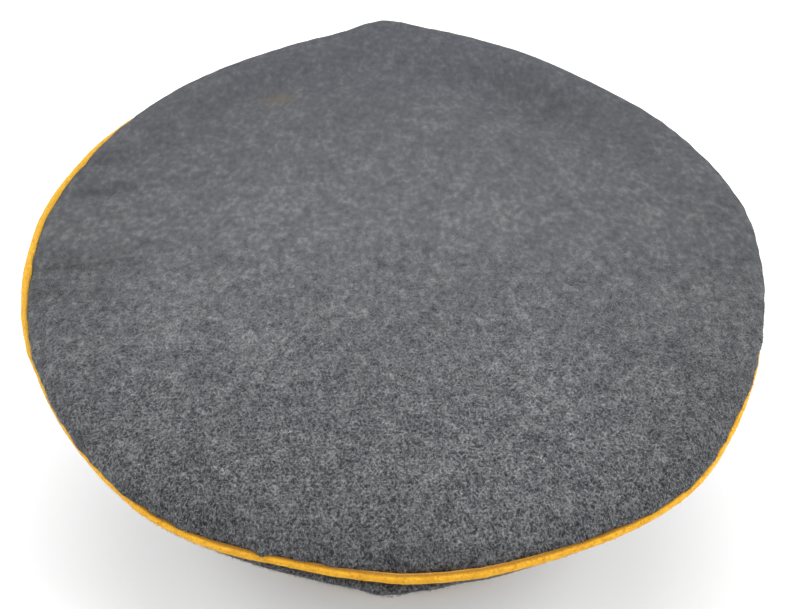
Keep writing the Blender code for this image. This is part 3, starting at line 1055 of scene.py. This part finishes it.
def fold_height(x, y):
    """Shallow folds and dents of the cloth, in metres."""
    total = 0.0
    for _, middle_x, middle_y, heading, length, width, depth in TOP_FOLDS:
        turn = math.radians(heading)
        along = (x - middle_x) * math.sin(turn) - (y - middle_y) * math.cos(turn)
        beside = (x - middle_x) * math.cos(turn) + (y - middle_y) * math.sin(turn)
        total = total + depth * np.exp(-((along / length) ** 2) - (beside / width) ** 2)
    return total


def seam_puckers(bearing, from_seam):
    """How far the cloth stands out beside the seam."""
    puckers = PUCKER * pucker_noise(np.radians(bearing), bearing * 0.0)
    nick = NICK_DEPTH * bell(bearing, NICK_BEARING, NICK_SPREAD)
    puckers = puckers * np.exp(-((from_seam / PUCKER_REACH) ** 2))
    return puckers + nick * np.exp(-((from_seam / NICK_REACH) ** 2))


print("folds:", ", ".join(row[0] for row in TOP_FOLDS))

# %% [markdown]
# ### Sewing the top
#
# One place function puts all that together. Its share runs from the rim over the roll to the
# middle, so a single grid makes the whole top, with no seam between roll and round. The grid is
# finest where the cloth bends most, and a wall of 2 mm makes it cloth instead of paper.

# %% Sew the top
TOP_GRID = (480, 60)
ROLL_SHARE = 0.27
CLOTH = 0.002


def top_place(along, share):
    """The top's outer face, from the rim (0), over the roll, to the middle (1)."""
    bearing = 360.0 * along
    rim = top_rim(bearing) * np.array([1.0, 1.0, 0.0])
    middle = np.array([0.0, MIDDLE_Y - HOOP_AHEAD_OF_BAND, 0.0])
    reach = np.linalg.norm(rim - middle, axis=-1)
    roll_width = around(EDGE_ROLL, bearing, 1) * HALF_WIDTH
    roll_height = around(EDGE_ROLL, bearing, 2) * HALF_WIDTH
    roll_end = 1.0 - roll_width / reach
    in_roll = np.clip((share - HEM_SHARE) / ROLL_SHARE, 0.0, 1.0)
    inward = np.clip((share - HEM_SHARE - ROLL_SHARE) / (1.0 - HEM_SHARE - ROLL_SHARE), 0.0, 1.0)
    turn = 0.5 * math.pi * in_roll
    across = (1.0 - (1.0 - roll_end) * (1.0 - np.cos(turn))) * (1.0 - inward)
    eased = TOP_RISE + (roll_height - TOP_RISE) * (1.0 - inward) ** 2
    raised = np.where(inward > 0, eased, roll_height * np.sin(turn))
    height, risen = top_height(bearing, across, share, raised, roll_height)
    point = middle + (rim - middle) * across[:, None]
    folds = fold_height(point[:, 0], point[:, 1]) + UNEVEN * slow_noise(point[:, 0], point[:, 1])
    puckers = seam_puckers(bearing, reach * (1.0 - across) + raised)
    point = point + unit(point - middle) * puckers[:, None]
    point[:, 2] = height + folds * risen
    return point


top = mesh_of("crown_top_cloth", *TOP_GRID, top_place, WOOL)
add_wall(top, CLOTH)
take_place(top, "grey_cloth", "crown_top")

# %% [markdown]
# ## The nap
#
# Fulled wool has short fibres standing out of it, light and dark ones. Seen close they make the
# cloth sparkle, and along a bent edge they blur its outline. Blender's hair curves would be lost
# in the export, so each fibre is a slim closed spike of four triangles, and one piece holds
# thousands of them, made from arrays.

# %% Choose the roots
ROOT_GRID = (480, 160)


def hair_roots(place, count, seed, weight):
    """Random points on a sheet, spread evenly by area times a weight, with the normals there."""
    draw = np.random.default_rng(seed)
    columns, rows = ROOT_GRID
    along, share = np.meshgrid((np.arange(columns) + 0.5) / columns, (np.arange(rows) + 0.5) / rows)
    along, share = along.ravel(), share.ravel()
    here = place(along, share)
    sideways = place(along + 0.5 / columns, share) - here
    inward = place(along, share + 0.5 / rows) - here
    across = np.cross(sideways, inward)
    chance = np.linalg.norm(across, axis=1) * weight(here)
    cell = draw.choice(len(along), count, p=chance / chance.sum())
    root = here[cell] + sideways[cell] * draw.uniform(-1, 1, (count, 1))
    root = root + inward[cell] * draw.uniform(-1, 1, (count, 1))
    return root, unit(across)[cell]


# %% Comb short hairs onto a sheet
HAIR_WIDTH = 0.00006
HAIR_RISE = (0.1, 0.9)
HAIR_REACH = (0.5, 1.4)
HAIR_CORNERS = (0.0, 2 * math.pi / 3, 4 * math.pi / 3)
HAIR_FACES = np.array([(0, 1, 3), (1, 2, 3), (2, 0, 3), (0, 2, 1)])


def hair_points(place, count, seed, length, brush, weight):
    """Three corners and a tip for each hair, leaning with the brush and to all sides."""
    draw = np.random.default_rng(seed + 1)
    root, normal = hair_roots(place, count, seed, weight)
    lean = np.array(brush) + draw.normal(0.0, 1.0, (count, 3))
    lean = unit(lean - normal * np.sum(lean * normal, axis=1)[:, None])
    ahead = unit(lean + normal * draw.uniform(*HAIR_RISE, (count, 1)))
    first = unit(np.cross(ahead, normal))
    second = np.cross(ahead, first)
    reach = length * draw.uniform(*HAIR_REACH, (count, 1))
    sunk = root - normal * HAIR_WIDTH
    sides = [first * math.cos(turn) + second * math.sin(turn) for turn in HAIR_CORNERS]
    corners = [sunk + HAIR_WIDTH * side for side in sides]
    return np.stack([*corners, root + ahead * reach], axis=1).reshape(-1, 3)


def add_hairs(name, place, count, seed, length, brush, material, weight):
    """One piece of many slim spikes, rooted in a sheet."""
    points = hair_points(place, count, seed, length, brush, weight)
    faces = (HAIR_FACES[None] + 4 * np.arange(count)[:, None, None]).reshape(-1, 3)
    mesh = bpy.data.meshes.new(name)
    mesh.vertices.add(len(points))
    mesh.vertices.foreach_set("co", points.astype(np.float32).ravel())
    mesh.loops.add(faces.size)
    mesh.loops.foreach_set("vertex_index", faces.astype(np.int32).ravel())
    mesh.polygons.add(len(faces))
    mesh.polygons.foreach_set("loop_start", np.arange(0, faces.size, 3, dtype=np.int32))
    mesh.polygons.foreach_set("loop_total", np.full(len(faces), 3, dtype=np.int32))
    mesh.update(calc_edges=True)
    mesh.materials.append(material)
    piece = bpy.data.objects.new(name, mesh)
    bpy.context.scene.collection.objects.link(piece)
    print(f"{name}: {count} hairs, {len(faces)} triangles")
    return piece


# %% [markdown]
# ### The top's nap
#
# The fibres are rubbed up towards the back and lie flat in front, so their number grows from none
# at the middle of the cap to the full count at the back. Light and dark ones are two pieces, each
# with its own tone, because a finish on a single hair can't be both.

# %% Raise the nap of the top
NAP_FULL_AT = 0.11
TOP_NAP = (
    # name, count, seed, length, tones
    ("top_light_nap", 38000, 51, 0.0011),
    ("top_dark_nap", 32000, 61, 0.0010),
)
TOP_BRUSH = (0.0, 1.2, -0.4)


def mix_hair(name, low, high):
    """A fibre's finish, between two tones."""
    hair = Finish(name)
    colour = hair.mix(hair.ramp(hair.noise(2000.0, 1.0), 0.3, 0.7), low, high)
    return hair.done(Base_Color=colour, Roughness=0.9, Specular_IOR_Level=0.1)


LIGHT_HAIR = mix_hair("light_wool_fibre", (0.20, 0.202, 0.205), (0.44, 0.44, 0.44))
DARK_HAIR = mix_hair("dark_wool_fibre", (0.014, 0.014, 0.018), (0.06, 0.06, 0.068))


def nap_weight(points):
    """More raised fibres towards the back, where the nap is rubbed up."""
    return np.clip(points[:, 1] / NAP_FULL_AT, 0.0, 1.0)


for (name, count, seed, length), hair in zip(TOP_NAP, (LIGHT_HAIR, DARK_HAIR)):
    nap = add_hairs(name, top_place, count, seed, length, TOP_BRUSH, hair, nap_weight)
    take_place(nap, "grey_cloth")

# %% [markdown]
# ### A little lint
#
# A few pale bits of lint lie on the back of the top. They could be small balls, but lint is a
# tangle of fibres, so they are the same hairs, pale, short and crowded at three places.

# %% Drop a little lint
LINT_PLACES = ((0.0538, 0.1107), (0.0351, 0.0947), (-0.048, 0.104))
LINT_REACH = 0.0005
LINT_LENGTH = 0.0009
LINT_COUNT = 70
LINT_SEED = 95
ALL_SIDES = (0.0, 0.0, 0.0)
LINT = mix_hair("pale_lint", (0.70, 0.70, 0.67), (0.92, 0.92, 0.90))


def lint_weight(points):
    """Only a few small places."""
    total = np.full(len(points), 1e-9)
    for x, y in LINT_PLACES:
        total += np.exp(-((points[:, 0] - x) ** 2 + (points[:, 1] - y) ** 2) / LINT_REACH**2)
    return total


lint = add_hairs("lint", top_place, LINT_COUNT, LINT_SEED, LINT_LENGTH, ALL_SIDES, LINT, lint_weight)
take_place(lint, "grey_cloth")

# %% [markdown]
# ## The side panels
#
# Four panels of the same wool join at the front, at the back and over each ear. Each leaves the
# band upright, swells out and comes in under the cord. Such a curve is easily drawn with four
# control points: the foot, a point above it, a point out from the head, and the head. A table
# moves the two middle ones round the cap. Beside the back seam the panels belly out most, and that
# is the sliver that shows under the piping from above.

# %% Draw the panels' curve
PANEL_CURVE = (
    # bearing, belly as a share of half the crown's width, pull of the foot and of the head
    (0.0, 0.030, 0.35, 0.35),
    (90.0, 0.055, 0.30, 0.40),
    (140.0, 0.060, 0.30, 0.50),
    (156.0, 0.045, 0.30, 0.60),
    (169.0, 0.090, 0.35, 0.75),
    (174.5, 0.101, 0.35, 0.75),
    (179.2, 0.137, 0.35, 0.80),
    (184.0, 0.087, 0.35, 0.75),
    (189.0, 0.048, 0.35, 0.70),
    (200.0, 0.030, 0.30, 0.60),
    (220.0, 0.045, 0.30, 0.50),
    (270.0, 0.055, 0.30, 0.40),
)
CROWN_CORD_RADIUS = 0.0015
PANEL_STAND = 1.0 / 9.0


def panel_face(bearing, share):
    """The panels' outer face, from the band's upper rim (0) to the top's rim (1)."""
    foot = band_point(bearing, 0.0, np.full_like(bearing, BAND_HEIGHT + SEWN_GAP))
    out = outward(seam_outline, bearing)
    beside_cord = CROWN_CORD_RADIUS + SEWN_GAP
    head = crown_cord_centre(bearing) - out * beside_cord - UP * (beside_cord + SEWN_GAP)
    stand = (top_rim(bearing)[:, 2] - SEWN_GAP - head[:, 2])[:, None]
    along = np.clip(share / (1.0 - PANEL_STAND), 0.0, 1.0)[:, None]
    in_stand = np.clip((share - 1.0 + PANEL_STAND) / PANEL_STAND, 0.0, 1.0)[:, None]
    rise = (head[:, 2] - foot[:, 2])[:, None]
    belly = around(PANEL_CURVE, bearing, 1)[:, None] * HALF_WIDTH
    foot_pull = foot + UP * rise * around(PANEL_CURVE, bearing, 2)[:, None]
    head_pull = head - UP * rise * around(PANEL_CURVE, bearing, 3)[:, None] + out * belly
    rest = 1.0 - along
    curve = foot * rest**3 + foot_pull * (3 * along * rest**2)
    curve = curve + head_pull * (3 * along**2 * rest) + head * along**3
    return curve + UP * stand * in_stand


back = panel_face(np.array([180.0, 180.0]), np.array([0.0, 1.0]))
print("the back seam rises from", round(float(back[0, 2]), 3), "to", round(float(back[1, 2]), 3), "m")

# %% [markdown]
# ### Cutting the panels
#
# Where two panels meet, the cloth is turned in, which leaves a fine groove with small puckers
# beside it. A dark line in the finish would look the same from afar, but a modelled groove holds
# up close and in the exported mesh too.

# %% Cut the panels
PANEL_GRID = (110, 50)
PANEL_NAMES = ("front_left", "rear_left", "rear_right", "front_right")
PANEL_RADIUS = 0.12
SEAM_GROOVE = 0.0007
GROOVE_WIDTH = 0.0016
SEAM_PUCKER = 0.00015
SEAM_PUCKER_PACE = 12.0
SEAM_PUCKER_REACH = 0.004
UNEVEN_PACE = 1.5

panel_noise = steady_noise(11, 70.0)


def panel_place(quarter):
    """The place function of one panel."""

    def place(along, share):
        bearing = 90.0 * (quarter + along)
        point = panel_face(bearing, share)
        out = outward(seam_outline, bearing)
        edge = np.minimum(along, 1.0 - along) * math.radians(90.0) * PANEL_RADIUS
        groove = SEAM_GROOVE * np.exp(-((edge / GROOVE_WIDTH) ** 2))
        puckers = SEAM_PUCKER * panel_noise(point[:, 2] * SEAM_PUCKER_PACE, bearing * 0.0)
        puckers = puckers * np.exp(-edge / SEAM_PUCKER_REACH)
        uneven = UNEVEN * panel_noise(point[:, 0] + point[:, 1], point[:, 2] * UNEVEN_PACE)
        fade = np.sin(math.pi * np.clip(share, 0.0, 1.0))
        return point + out * (uneven * fade + puckers - groove)[:, None]

    return place


for quarter, name in enumerate(PANEL_NAMES):
    panel = mesh_of(f"panel_{name}_cloth", *PANEL_GRID, panel_place(quarter), PANEL_WOOL)
    add_wall(panel, CLOTH)
    take_place(panel, "grey_cloth", f"panel_{name}")

# %% [markdown]
# ### The panels' nap
#
# The panels carry the same raised fibres at the back, where they show under the piping. Here they
# hang down, as a brush leaves them on an upright cloth.

# %% Raise the nap of the panels
PANEL_NAP = (
    # name, count, seed
    ("panel_light_nap", 16000, 71),
    ("panel_dark_nap", 12000, 81),
)
PANEL_NAP_LENGTH = 0.001
PANEL_BRUSH = (0.0, 0.0, -1.0)


def all_panels(along, share):
    """The four panels as one sheet."""
    return panel_face(360.0 * along, np.clip(share, 0.0, 1.0))


for (name, count, seed), hair in zip(PANEL_NAP, (LIGHT_HAIR, DARK_HAIR)):
    nap = add_hairs(name, all_panels, count, seed, PANEL_NAP_LENGTH, PANEL_BRUSH, hair, nap_weight)
    take_place(nap, "grey_cloth")

# %% [markdown]
# ## The cords
#
# A cord is a tube swept round the cap. Blender can bevel a curve into a tube, but a real cord is
# not quite round: the sewing pulls it in a little every few millimetres, and the felt cover varies
# in thickness. A place function along a centre line can say so. The crown's cord follows its
# table, and two slimmer ones run along the band's edges.

# %% Sweep the cords
LUMP_WAVES = 160.0
LUMP = 0.025
LUMP_ROUND = 0.02
CROWN_CORD_SEED = 21
CROWN_CORD_GRID = (720, 20)


def cord_place(centre, radius, seed, thickness=None):
    """The place function of a felt-covered cord along a centre line."""
    lumps = steady_noise(seed, LUMP_WAVES)

    def place(along, share):
        bearing = 360.0 * along
        turn = 2 * math.pi * share
        ahead = unit(centre(bearing + 0.2) - centre(bearing - 0.2))
        side = unit(np.cross(ahead, UP))
        over = np.cross(side, ahead)
        uneven = 1.0 + LUMP * lumps(np.radians(bearing), np.sin(turn) * LUMP_ROUND)
        if thickness:
            uneven = uneven * around(thickness, bearing, 3)
        out = side * np.cos(turn)[:, None] + over * np.sin(turn)[:, None]
        return centre(bearing) + out * (radius * uneven)[:, None]

    return place


crown_cord_place = cord_place(crown_cord_centre, CROWN_CORD_RADIUS, CROWN_CORD_SEED, CORD_SEAT)
crown_cord = mesh_of("crown_cord_felt", *CROWN_CORD_GRID, crown_cord_place, FELT)
take_place(crown_cord, "yellow_cloth", "crown_cord")

# %% Edge the band
BAND_CORD_RADIUS = 0.0011
BAND_CORD_GRID = (540, 14)
CORD_INSET = 0.0044
BAND_CORDS = (
    # name, height above the band's lower rim, seed
    ("band_cord_lower", CORD_INSET, 31),
    ("band_cord_upper", BAND_HEIGHT - BAND_CORD_RADIUS - SEWN_GAP, 32),
)


def band_cord_line(height):
    """The centre line of one of the band's cords."""

    def centre(bearing):
        return band_point(bearing, BAND_CORD_RADIUS + SEWN_GAP, np.full_like(bearing, height))

    return centre


for name, height, seed in BAND_CORDS:
    place = cord_place(band_cord_line(height), BAND_CORD_RADIUS, seed)
    cord = mesh_of(f"{name}_felt", *BAND_CORD_GRID, place, FELT)
    take_place(cord, "yellow_cloth", name)

# %% [markdown]
# ### Fuzz on the cord
#
# Felt has no hard edge. A down of very short yellow hairs, on all sides of the crown's cord,
# softens it against the grey cloth. The two cords below are never seen so close.

# %% Fuzz the cord
FUZZ_COUNT = 15000
FUZZ_SEED = 91
FUZZ_LENGTH = 0.0006


def everywhere(points):
    """The same chance all over."""
    return 1.0


YELLOW_HAIR = mix_hair("yellow_fibre", (0.62, 0.27, 0.012), (0.90, 0.52, 0.06))
fuzz = add_hairs(
    "crown_cord_fuzz", crown_cord_place, FUZZ_COUNT, FUZZ_SEED, FUZZ_LENGTH,
    ALL_SIDES, YELLOW_HAIR, everywhere,
)
take_place(fuzz, "yellow_cloth")

# %% [markdown]
# ## The band
#
# The band is a wall of ribbed cloth: fine upright ribs, a little over a millimetre apart. They are
# modelled, not painted, because the low light along the band shows them. The wall is one ribbon
# whose section runs up the outside, over the rim, down the inside and under, and closes.

# %% Weave the band
RIBS = 420
RIB_STEPS = 5
RIB_DEPTH = 0.00035
BAND_WALL = 0.003
BAND_EDGE = 0.0008
BAND_ROWS = 25
BAND_SECTION = np.array([
    # share of the way round, depth into the wall, height
    (0.00, 0.0, BAND_EDGE),
    (0.40, 0.0, BAND_HEIGHT - BAND_EDGE),
    (0.44, BAND_EDGE, BAND_HEIGHT),
    (0.48, BAND_WALL - BAND_EDGE, BAND_HEIGHT),
    (0.52, BAND_WALL, BAND_HEIGHT - BAND_EDGE),
    (0.92, BAND_WALL, BAND_EDGE),
    (0.95, BAND_WALL - BAND_EDGE, 0.0),
    (0.98, BAND_EDGE, 0.0),
    (1.00, 0.0, BAND_EDGE),
])


def band_place(along, share):
    """Round the wall's section: up the outside, over the rim, down the inside and under."""
    bearing = 360.0 * along
    depth = np.interp(share, BAND_SECTION[:, 0], BAND_SECTION[:, 1])
    height = np.interp(share, BAND_SECTION[:, 0], BAND_SECTION[:, 2])
    rib = RIB_DEPTH * (np.abs(np.sin(np.pi * along * RIBS)) - 1.0)
    outer = np.clip(1.0 - depth / BAND_EDGE, 0.0, 1.0)
    plan = band_outline(bearing) - outward(band_outline, bearing) * (depth - rib * outer)[:, None]
    return plan + UP * (band_lift(bearing) + height)[:, None]


band = mesh_of("band_ribbed_cloth", RIBS * RIB_STEPS, BAND_ROWS, band_place, RIBBED)
take_place(band, "black_ribbed", "band")

# %% [markdown]
# ## The peak
#
# The peak is a stiff crescent of board that hangs from the front of the band down to the table. It
# narrows to nothing at its ends and bows a little, as it would when pressed over a form. A plain
# bent plate would miss that bow, which is what bends the reflections in the lacquer.

# %% Draw the peak's underside
PEAK_REACH = 0.038
PEAK_WALL = 0.0024
PEAK_HALF_SPAN = 74.0
PEAK_SEAT = 0.0006
PEAK_BOW = 0.0035
PEAK_EDGE_POWER = 2.2
PEAK_REACH_POWER = 0.8


def peak_under(bearing, share):
    """The peak's underside, from the band (0) to its free edge (1), which meets the table."""
    along = np.abs(bearing) / PEAK_HALF_SPAN
    inner = band_point(bearing, SEWN_GAP, np.full_like(bearing, PEAK_SEAT))
    reach = PEAK_REACH * np.maximum(0.0, 1.0 - along**PEAK_EDGE_POWER) ** PEAK_REACH_POWER
    drop = inner[:, 2] * (1.0 - along**PEAK_EDGE_POWER)
    point = inner + outward(band_outline, bearing) * (reach * share)[:, None]
    bow = PEAK_BOW * 4.0 * share * (1.0 - share) * drop / FRONT_LIFT
    point[:, 2] = inner[:, 2] - drop * share + bow
    return point, reach


def peak_normal(bearing, share):
    """The upward direction square to the underside."""
    point, _ = peak_under(bearing, share)
    ahead, _ = peak_under(bearing, share + 0.01)
    beside, _ = peak_under(bearing + 0.1, share)
    behind, _ = peak_under(bearing - 0.1, share)
    normal = unit(np.cross(ahead - point, beside - behind))
    return normal * np.sign(normal[:, 2:3] + 1e-9)


tip, _ = peak_under(np.array([0.0]), np.array([1.0]))
print("the peak's edge lies at y", round(float(tip[0, 1]), 4), "and z", round(float(tip[0, 2]), 4))

# %% [markdown]
# ### Pressing the peak
#
# Both faces, the rounded free edge and a raised bead are one closed skin. The bead follows the
# free edge and gives the long highlight that such peaks have. The faces that look down then get
# the plain board's finish.

# %% Press the peak
PEAK_COLUMNS = 180
FACE_ROWS = 40
EDGE_ROWS = 8
PEAK_END = 0.995
EDGE_PUSH = 0.8
EDGE_ZONE = 0.98
BEAD_INSET = 0.0045
BEAD_WIDTH = 0.0012
BEAD_HEIGHT = 0.0006
BEAD_FADE = 0.012
LOOKS_DOWN = -0.2


def peak_place(along, share):
    """Along the underside, round the free edge and back over the top."""
    bearing = PEAK_HALF_SPAN * (2.0 * along - 1.0) * PEAK_END
    row = share * (2 * FACE_ROWS + EDGE_ROWS)
    under = np.clip(row / FACE_ROWS, 0.0, 1.0)
    over = np.clip((row - FACE_ROWS - EDGE_ROWS) / FACE_ROWS, 0.0, 1.0)
    turn = np.pi * np.clip((row - FACE_ROWS) / EDGE_ROWS, 0.0, 1.0)
    across = np.where(row <= FACE_ROWS, under, 1.0 - over)
    point, reach = peak_under(bearing, across)
    half = PEAK_WALL / 2
    lift = half * (1.0 - np.cos(turn))
    push = half * np.sin(turn) * EDGE_PUSH - half * EDGE_PUSH
    from_edge = reach * (1.0 - across)
    bead = BEAD_HEIGHT * np.exp(-(((from_edge - BEAD_INSET) / BEAD_WIDTH) ** 2))
    bead = bead * np.clip(reach / BEAD_FADE, 0.0, 1.0) * (row > FACE_ROWS + EDGE_ROWS)
    out = outward(band_outline, bearing) * (push * (across > EDGE_ZONE))[:, None]
    return point + peak_normal(bearing, across) * (lift + bead)[:, None] + out


peak = mesh_of("peak_lacquered", PEAK_COLUMNS, 2 * FACE_ROWS + EDGE_ROWS, peak_place, LACQUER)
peak.data.materials.append(UNDERSIDE)
for face in peak.data.polygons:
    if face.normal.z < LOOKS_DOWN:
        face.material_index = 1
take_place(peak, "black_glazed", "peak")

# %% [markdown]
# ## The strap
#
# The strap is worn up: it crosses the front of the band from one button to the other, through two
# flat slides. It is a flat ribbon of leather with softened edges, narrower at its ends, and a
# creased line runs along both edges. A square section would look like plastic, so its section is
# an oval with small powers, which is nearly flat with round edges.

# %% Cut the strap
STRAP_WIDTH = 0.014
STRAP_WALL = 0.0018
STRAP_HALF_SPAN = 71.0
STRAP_RISE = 0.0145
STRAP_GRID = (260, 56)
STRAP_END = 0.03
STRAP_END_WIDTH = 0.35
STRAP_FLATNESS = 0.35
STRAP_ROUNDNESS = 0.8
CREASE_DEPTH = 0.00022
CREASE_INSET = 0.0016
CREASE_WIDTH = 0.0003
SLIDE_WALL = 0.001
STRAP_STAND_OFF = SLIDE_WALL + 2 * SEWN_GAP


def strap_middle(bearing, beyond=0.0):
    """Points on the middle line of the strap, or straight outside it."""
    offset = STRAP_STAND_OFF + STRAP_WALL / 2 + beyond
    return band_point(bearing, offset, np.full_like(bearing, STRAP_RISE))


def strap_place(along, share):
    """Round the strap's section, from one end to the other."""
    bearing = STRAP_HALF_SPAN * (2.0 * along - 1.0)
    turn = 2 * math.pi * share
    depth = np.sign(np.cos(turn)) * np.abs(np.cos(turn)) ** STRAP_FLATNESS * (STRAP_WALL / 2)
    height = np.sign(np.sin(turn)) * np.abs(np.sin(turn)) ** STRAP_ROUNDNESS * (STRAP_WIDTH / 2)
    beside = np.abs(height) - STRAP_WIDTH / 2 + CREASE_INSET
    crease = CREASE_DEPTH * np.exp(-((beside / CREASE_WIDTH) ** 2))
    depth = depth - crease * (depth > 0)
    ends = np.clip((1.0 - np.abs(2.0 * along - 1.0)) / STRAP_END, 0.0, 1.0) ** 0.5
    out = outward(band_outline, bearing)
    narrowed = height * (STRAP_END_WIDTH + (1.0 - STRAP_END_WIDTH) * ends)
    return strap_middle(bearing) + out * depth[:, None] + UP * narrowed[:, None]


strap = mesh_of("chin_strap_leather", *STRAP_GRID, strap_place, LEATHER)
take_place(strap, "black_leather", "chin_strap")

# %% [markdown]
# ## The slides
#
# A slide is a flat ring of sheet metal that holds two layers of strap together. It could be a
# torus squeezed by hand. A ring drawn with a high power is nearly a rectangle with round corners,
# and it keeps an even wall all round the strap.

# %% Bend the slides
SLIDES = (("strap_slide_left", 1.0), ("strap_slide_right", -1.0))
SLIDE_BEARING = 44.0
SLIDE_LENGTH = 0.008
SLIDE_ROOM = 0.001
SLIDE_GRID = (96, 16)
SLIDE_SQUARENESS = 8.0
HALF_DEPTH = STRAP_WALL / 2 + SEWN_GAP + SLIDE_WALL / 2
HALF_HEIGHT = STRAP_WIDTH / 2 + SLIDE_ROOM + SLIDE_WALL / 2


def slide_place(side):
    """The place function of one slide."""
    bearing = np.array([side * SLIDE_BEARING])
    middle = strap_middle(bearing)[0]
    forward = unit(strap_middle(bearing + 0.5) - strap_middle(bearing - 0.5))[0]
    out = outward(band_outline, bearing)[0]
    up = np.cross(out, forward)

    def place(along, share):
        ring = 2 * math.pi * along
        square = np.abs(np.cos(ring) / HALF_DEPTH) ** SLIDE_SQUARENESS
        square = square + np.abs(np.sin(ring) / HALF_HEIGHT) ** SLIDE_SQUARENESS
        radius = square ** (-1.0 / SLIDE_SQUARENESS)
        depth = radius * np.cos(ring)
        height = radius * np.sin(ring)
        turn = 2 * math.pi * share
        wide = np.sign(np.cos(turn)) * np.abs(np.cos(turn)) ** 0.5 * SLIDE_LENGTH / 2
        thick = np.sin(turn) * SLIDE_WALL / 2
        grow_depth = depth * (1.0 + thick / HALF_DEPTH)
        grow_height = height + np.sign(height) * thick * (np.abs(height) / HALF_HEIGHT) ** 2
        return middle + out * grow_depth[:, None] + up * grow_height[:, None] + forward * wide[:, None]

    return place


for name, side in SLIDES:
    slide = mesh_of(f"{name}_enamel", *SLIDE_GRID, slide_place(side), ENAMEL)
    take_place(slide, "black_enamel", name)

# %% [markdown]
# ## The buttons
#
# A cap button is stamped from thin metal: a domed face over a small rolled rim. It is turned round
# its own axis from a profile, as on a lathe, and seated on the strap's end.

# %% Turn the buttons
BUTTONS = (("side_button_left", 1.0), ("side_button_right", -1.0))
BUTTON_RADIUS = 0.0065
BUTTON_HEIGHT = 0.0042
BUTTON_GRID = (48, 44)
BUTTON_PROFILE = np.array([
    # share of the radius, share of the height
    (0.00, 0.00),
    (0.90, 0.00),
    (0.99, 0.10),
    (1.00, 0.20),
    (0.95, 0.30),
    (0.90, 0.36),
    (0.88, 0.44),
    (0.78, 0.66),
    (0.60, 0.84),
    (0.35, 0.96),
    (0.12, 1.00),
    (0.00, 1.00),
])


def button_place(side):
    """The place function of one button."""
    inset = math.degrees(STRAP_WIDTH / 2 / BAND_HALF_WIDTH)
    bearing = np.array([side * (STRAP_HALF_SPAN - inset)])
    seat = strap_middle(bearing, STRAP_WALL / 2 + SEWN_GAP)[0]
    out = outward(band_outline, bearing)[0]
    sideways = np.cross(UP, out)
    over = np.cross(out, sideways)

    def place(along, share):
        ring = 2 * math.pi * along
        steps = np.linspace(0.0, 1.0, len(BUTTON_PROFILE))
        radius = np.interp(share, steps, BUTTON_PROFILE[:, 0]) * BUTTON_RADIUS
        height = np.interp(share, steps, BUTTON_PROFILE[:, 1]) * BUTTON_HEIGHT
        round_face = sideways * (radius * np.cos(ring))[:, None] + over * (radius * np.sin(ring))[:, None]
        return seat + out * height[:, None] + round_face

    return place


for name, side in BUTTONS:
    button = mesh_of(f"{name}_metal", *BUTTON_GRID, button_place(side), BUTTON_METAL)
    take_place(button, "grey_metal", name)

# %% [markdown]
# ## Sizes and the end
#
# The dressed cap has to keep the solids' size, so both boxes are written down and compared.

# %% Compare the boxes and finish
bpy.context.view_layer.update()
DRESSED_BOX = [list(corner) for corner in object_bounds()]
for corner, cad, dressed in zip(("low", "high"), CAD_BOX, DRESSED_BOX):
    print("dressed box,", corner, "corner, mm off:", [round((b - a) * 1000, 2) for a, b in zip(cad, dressed)])
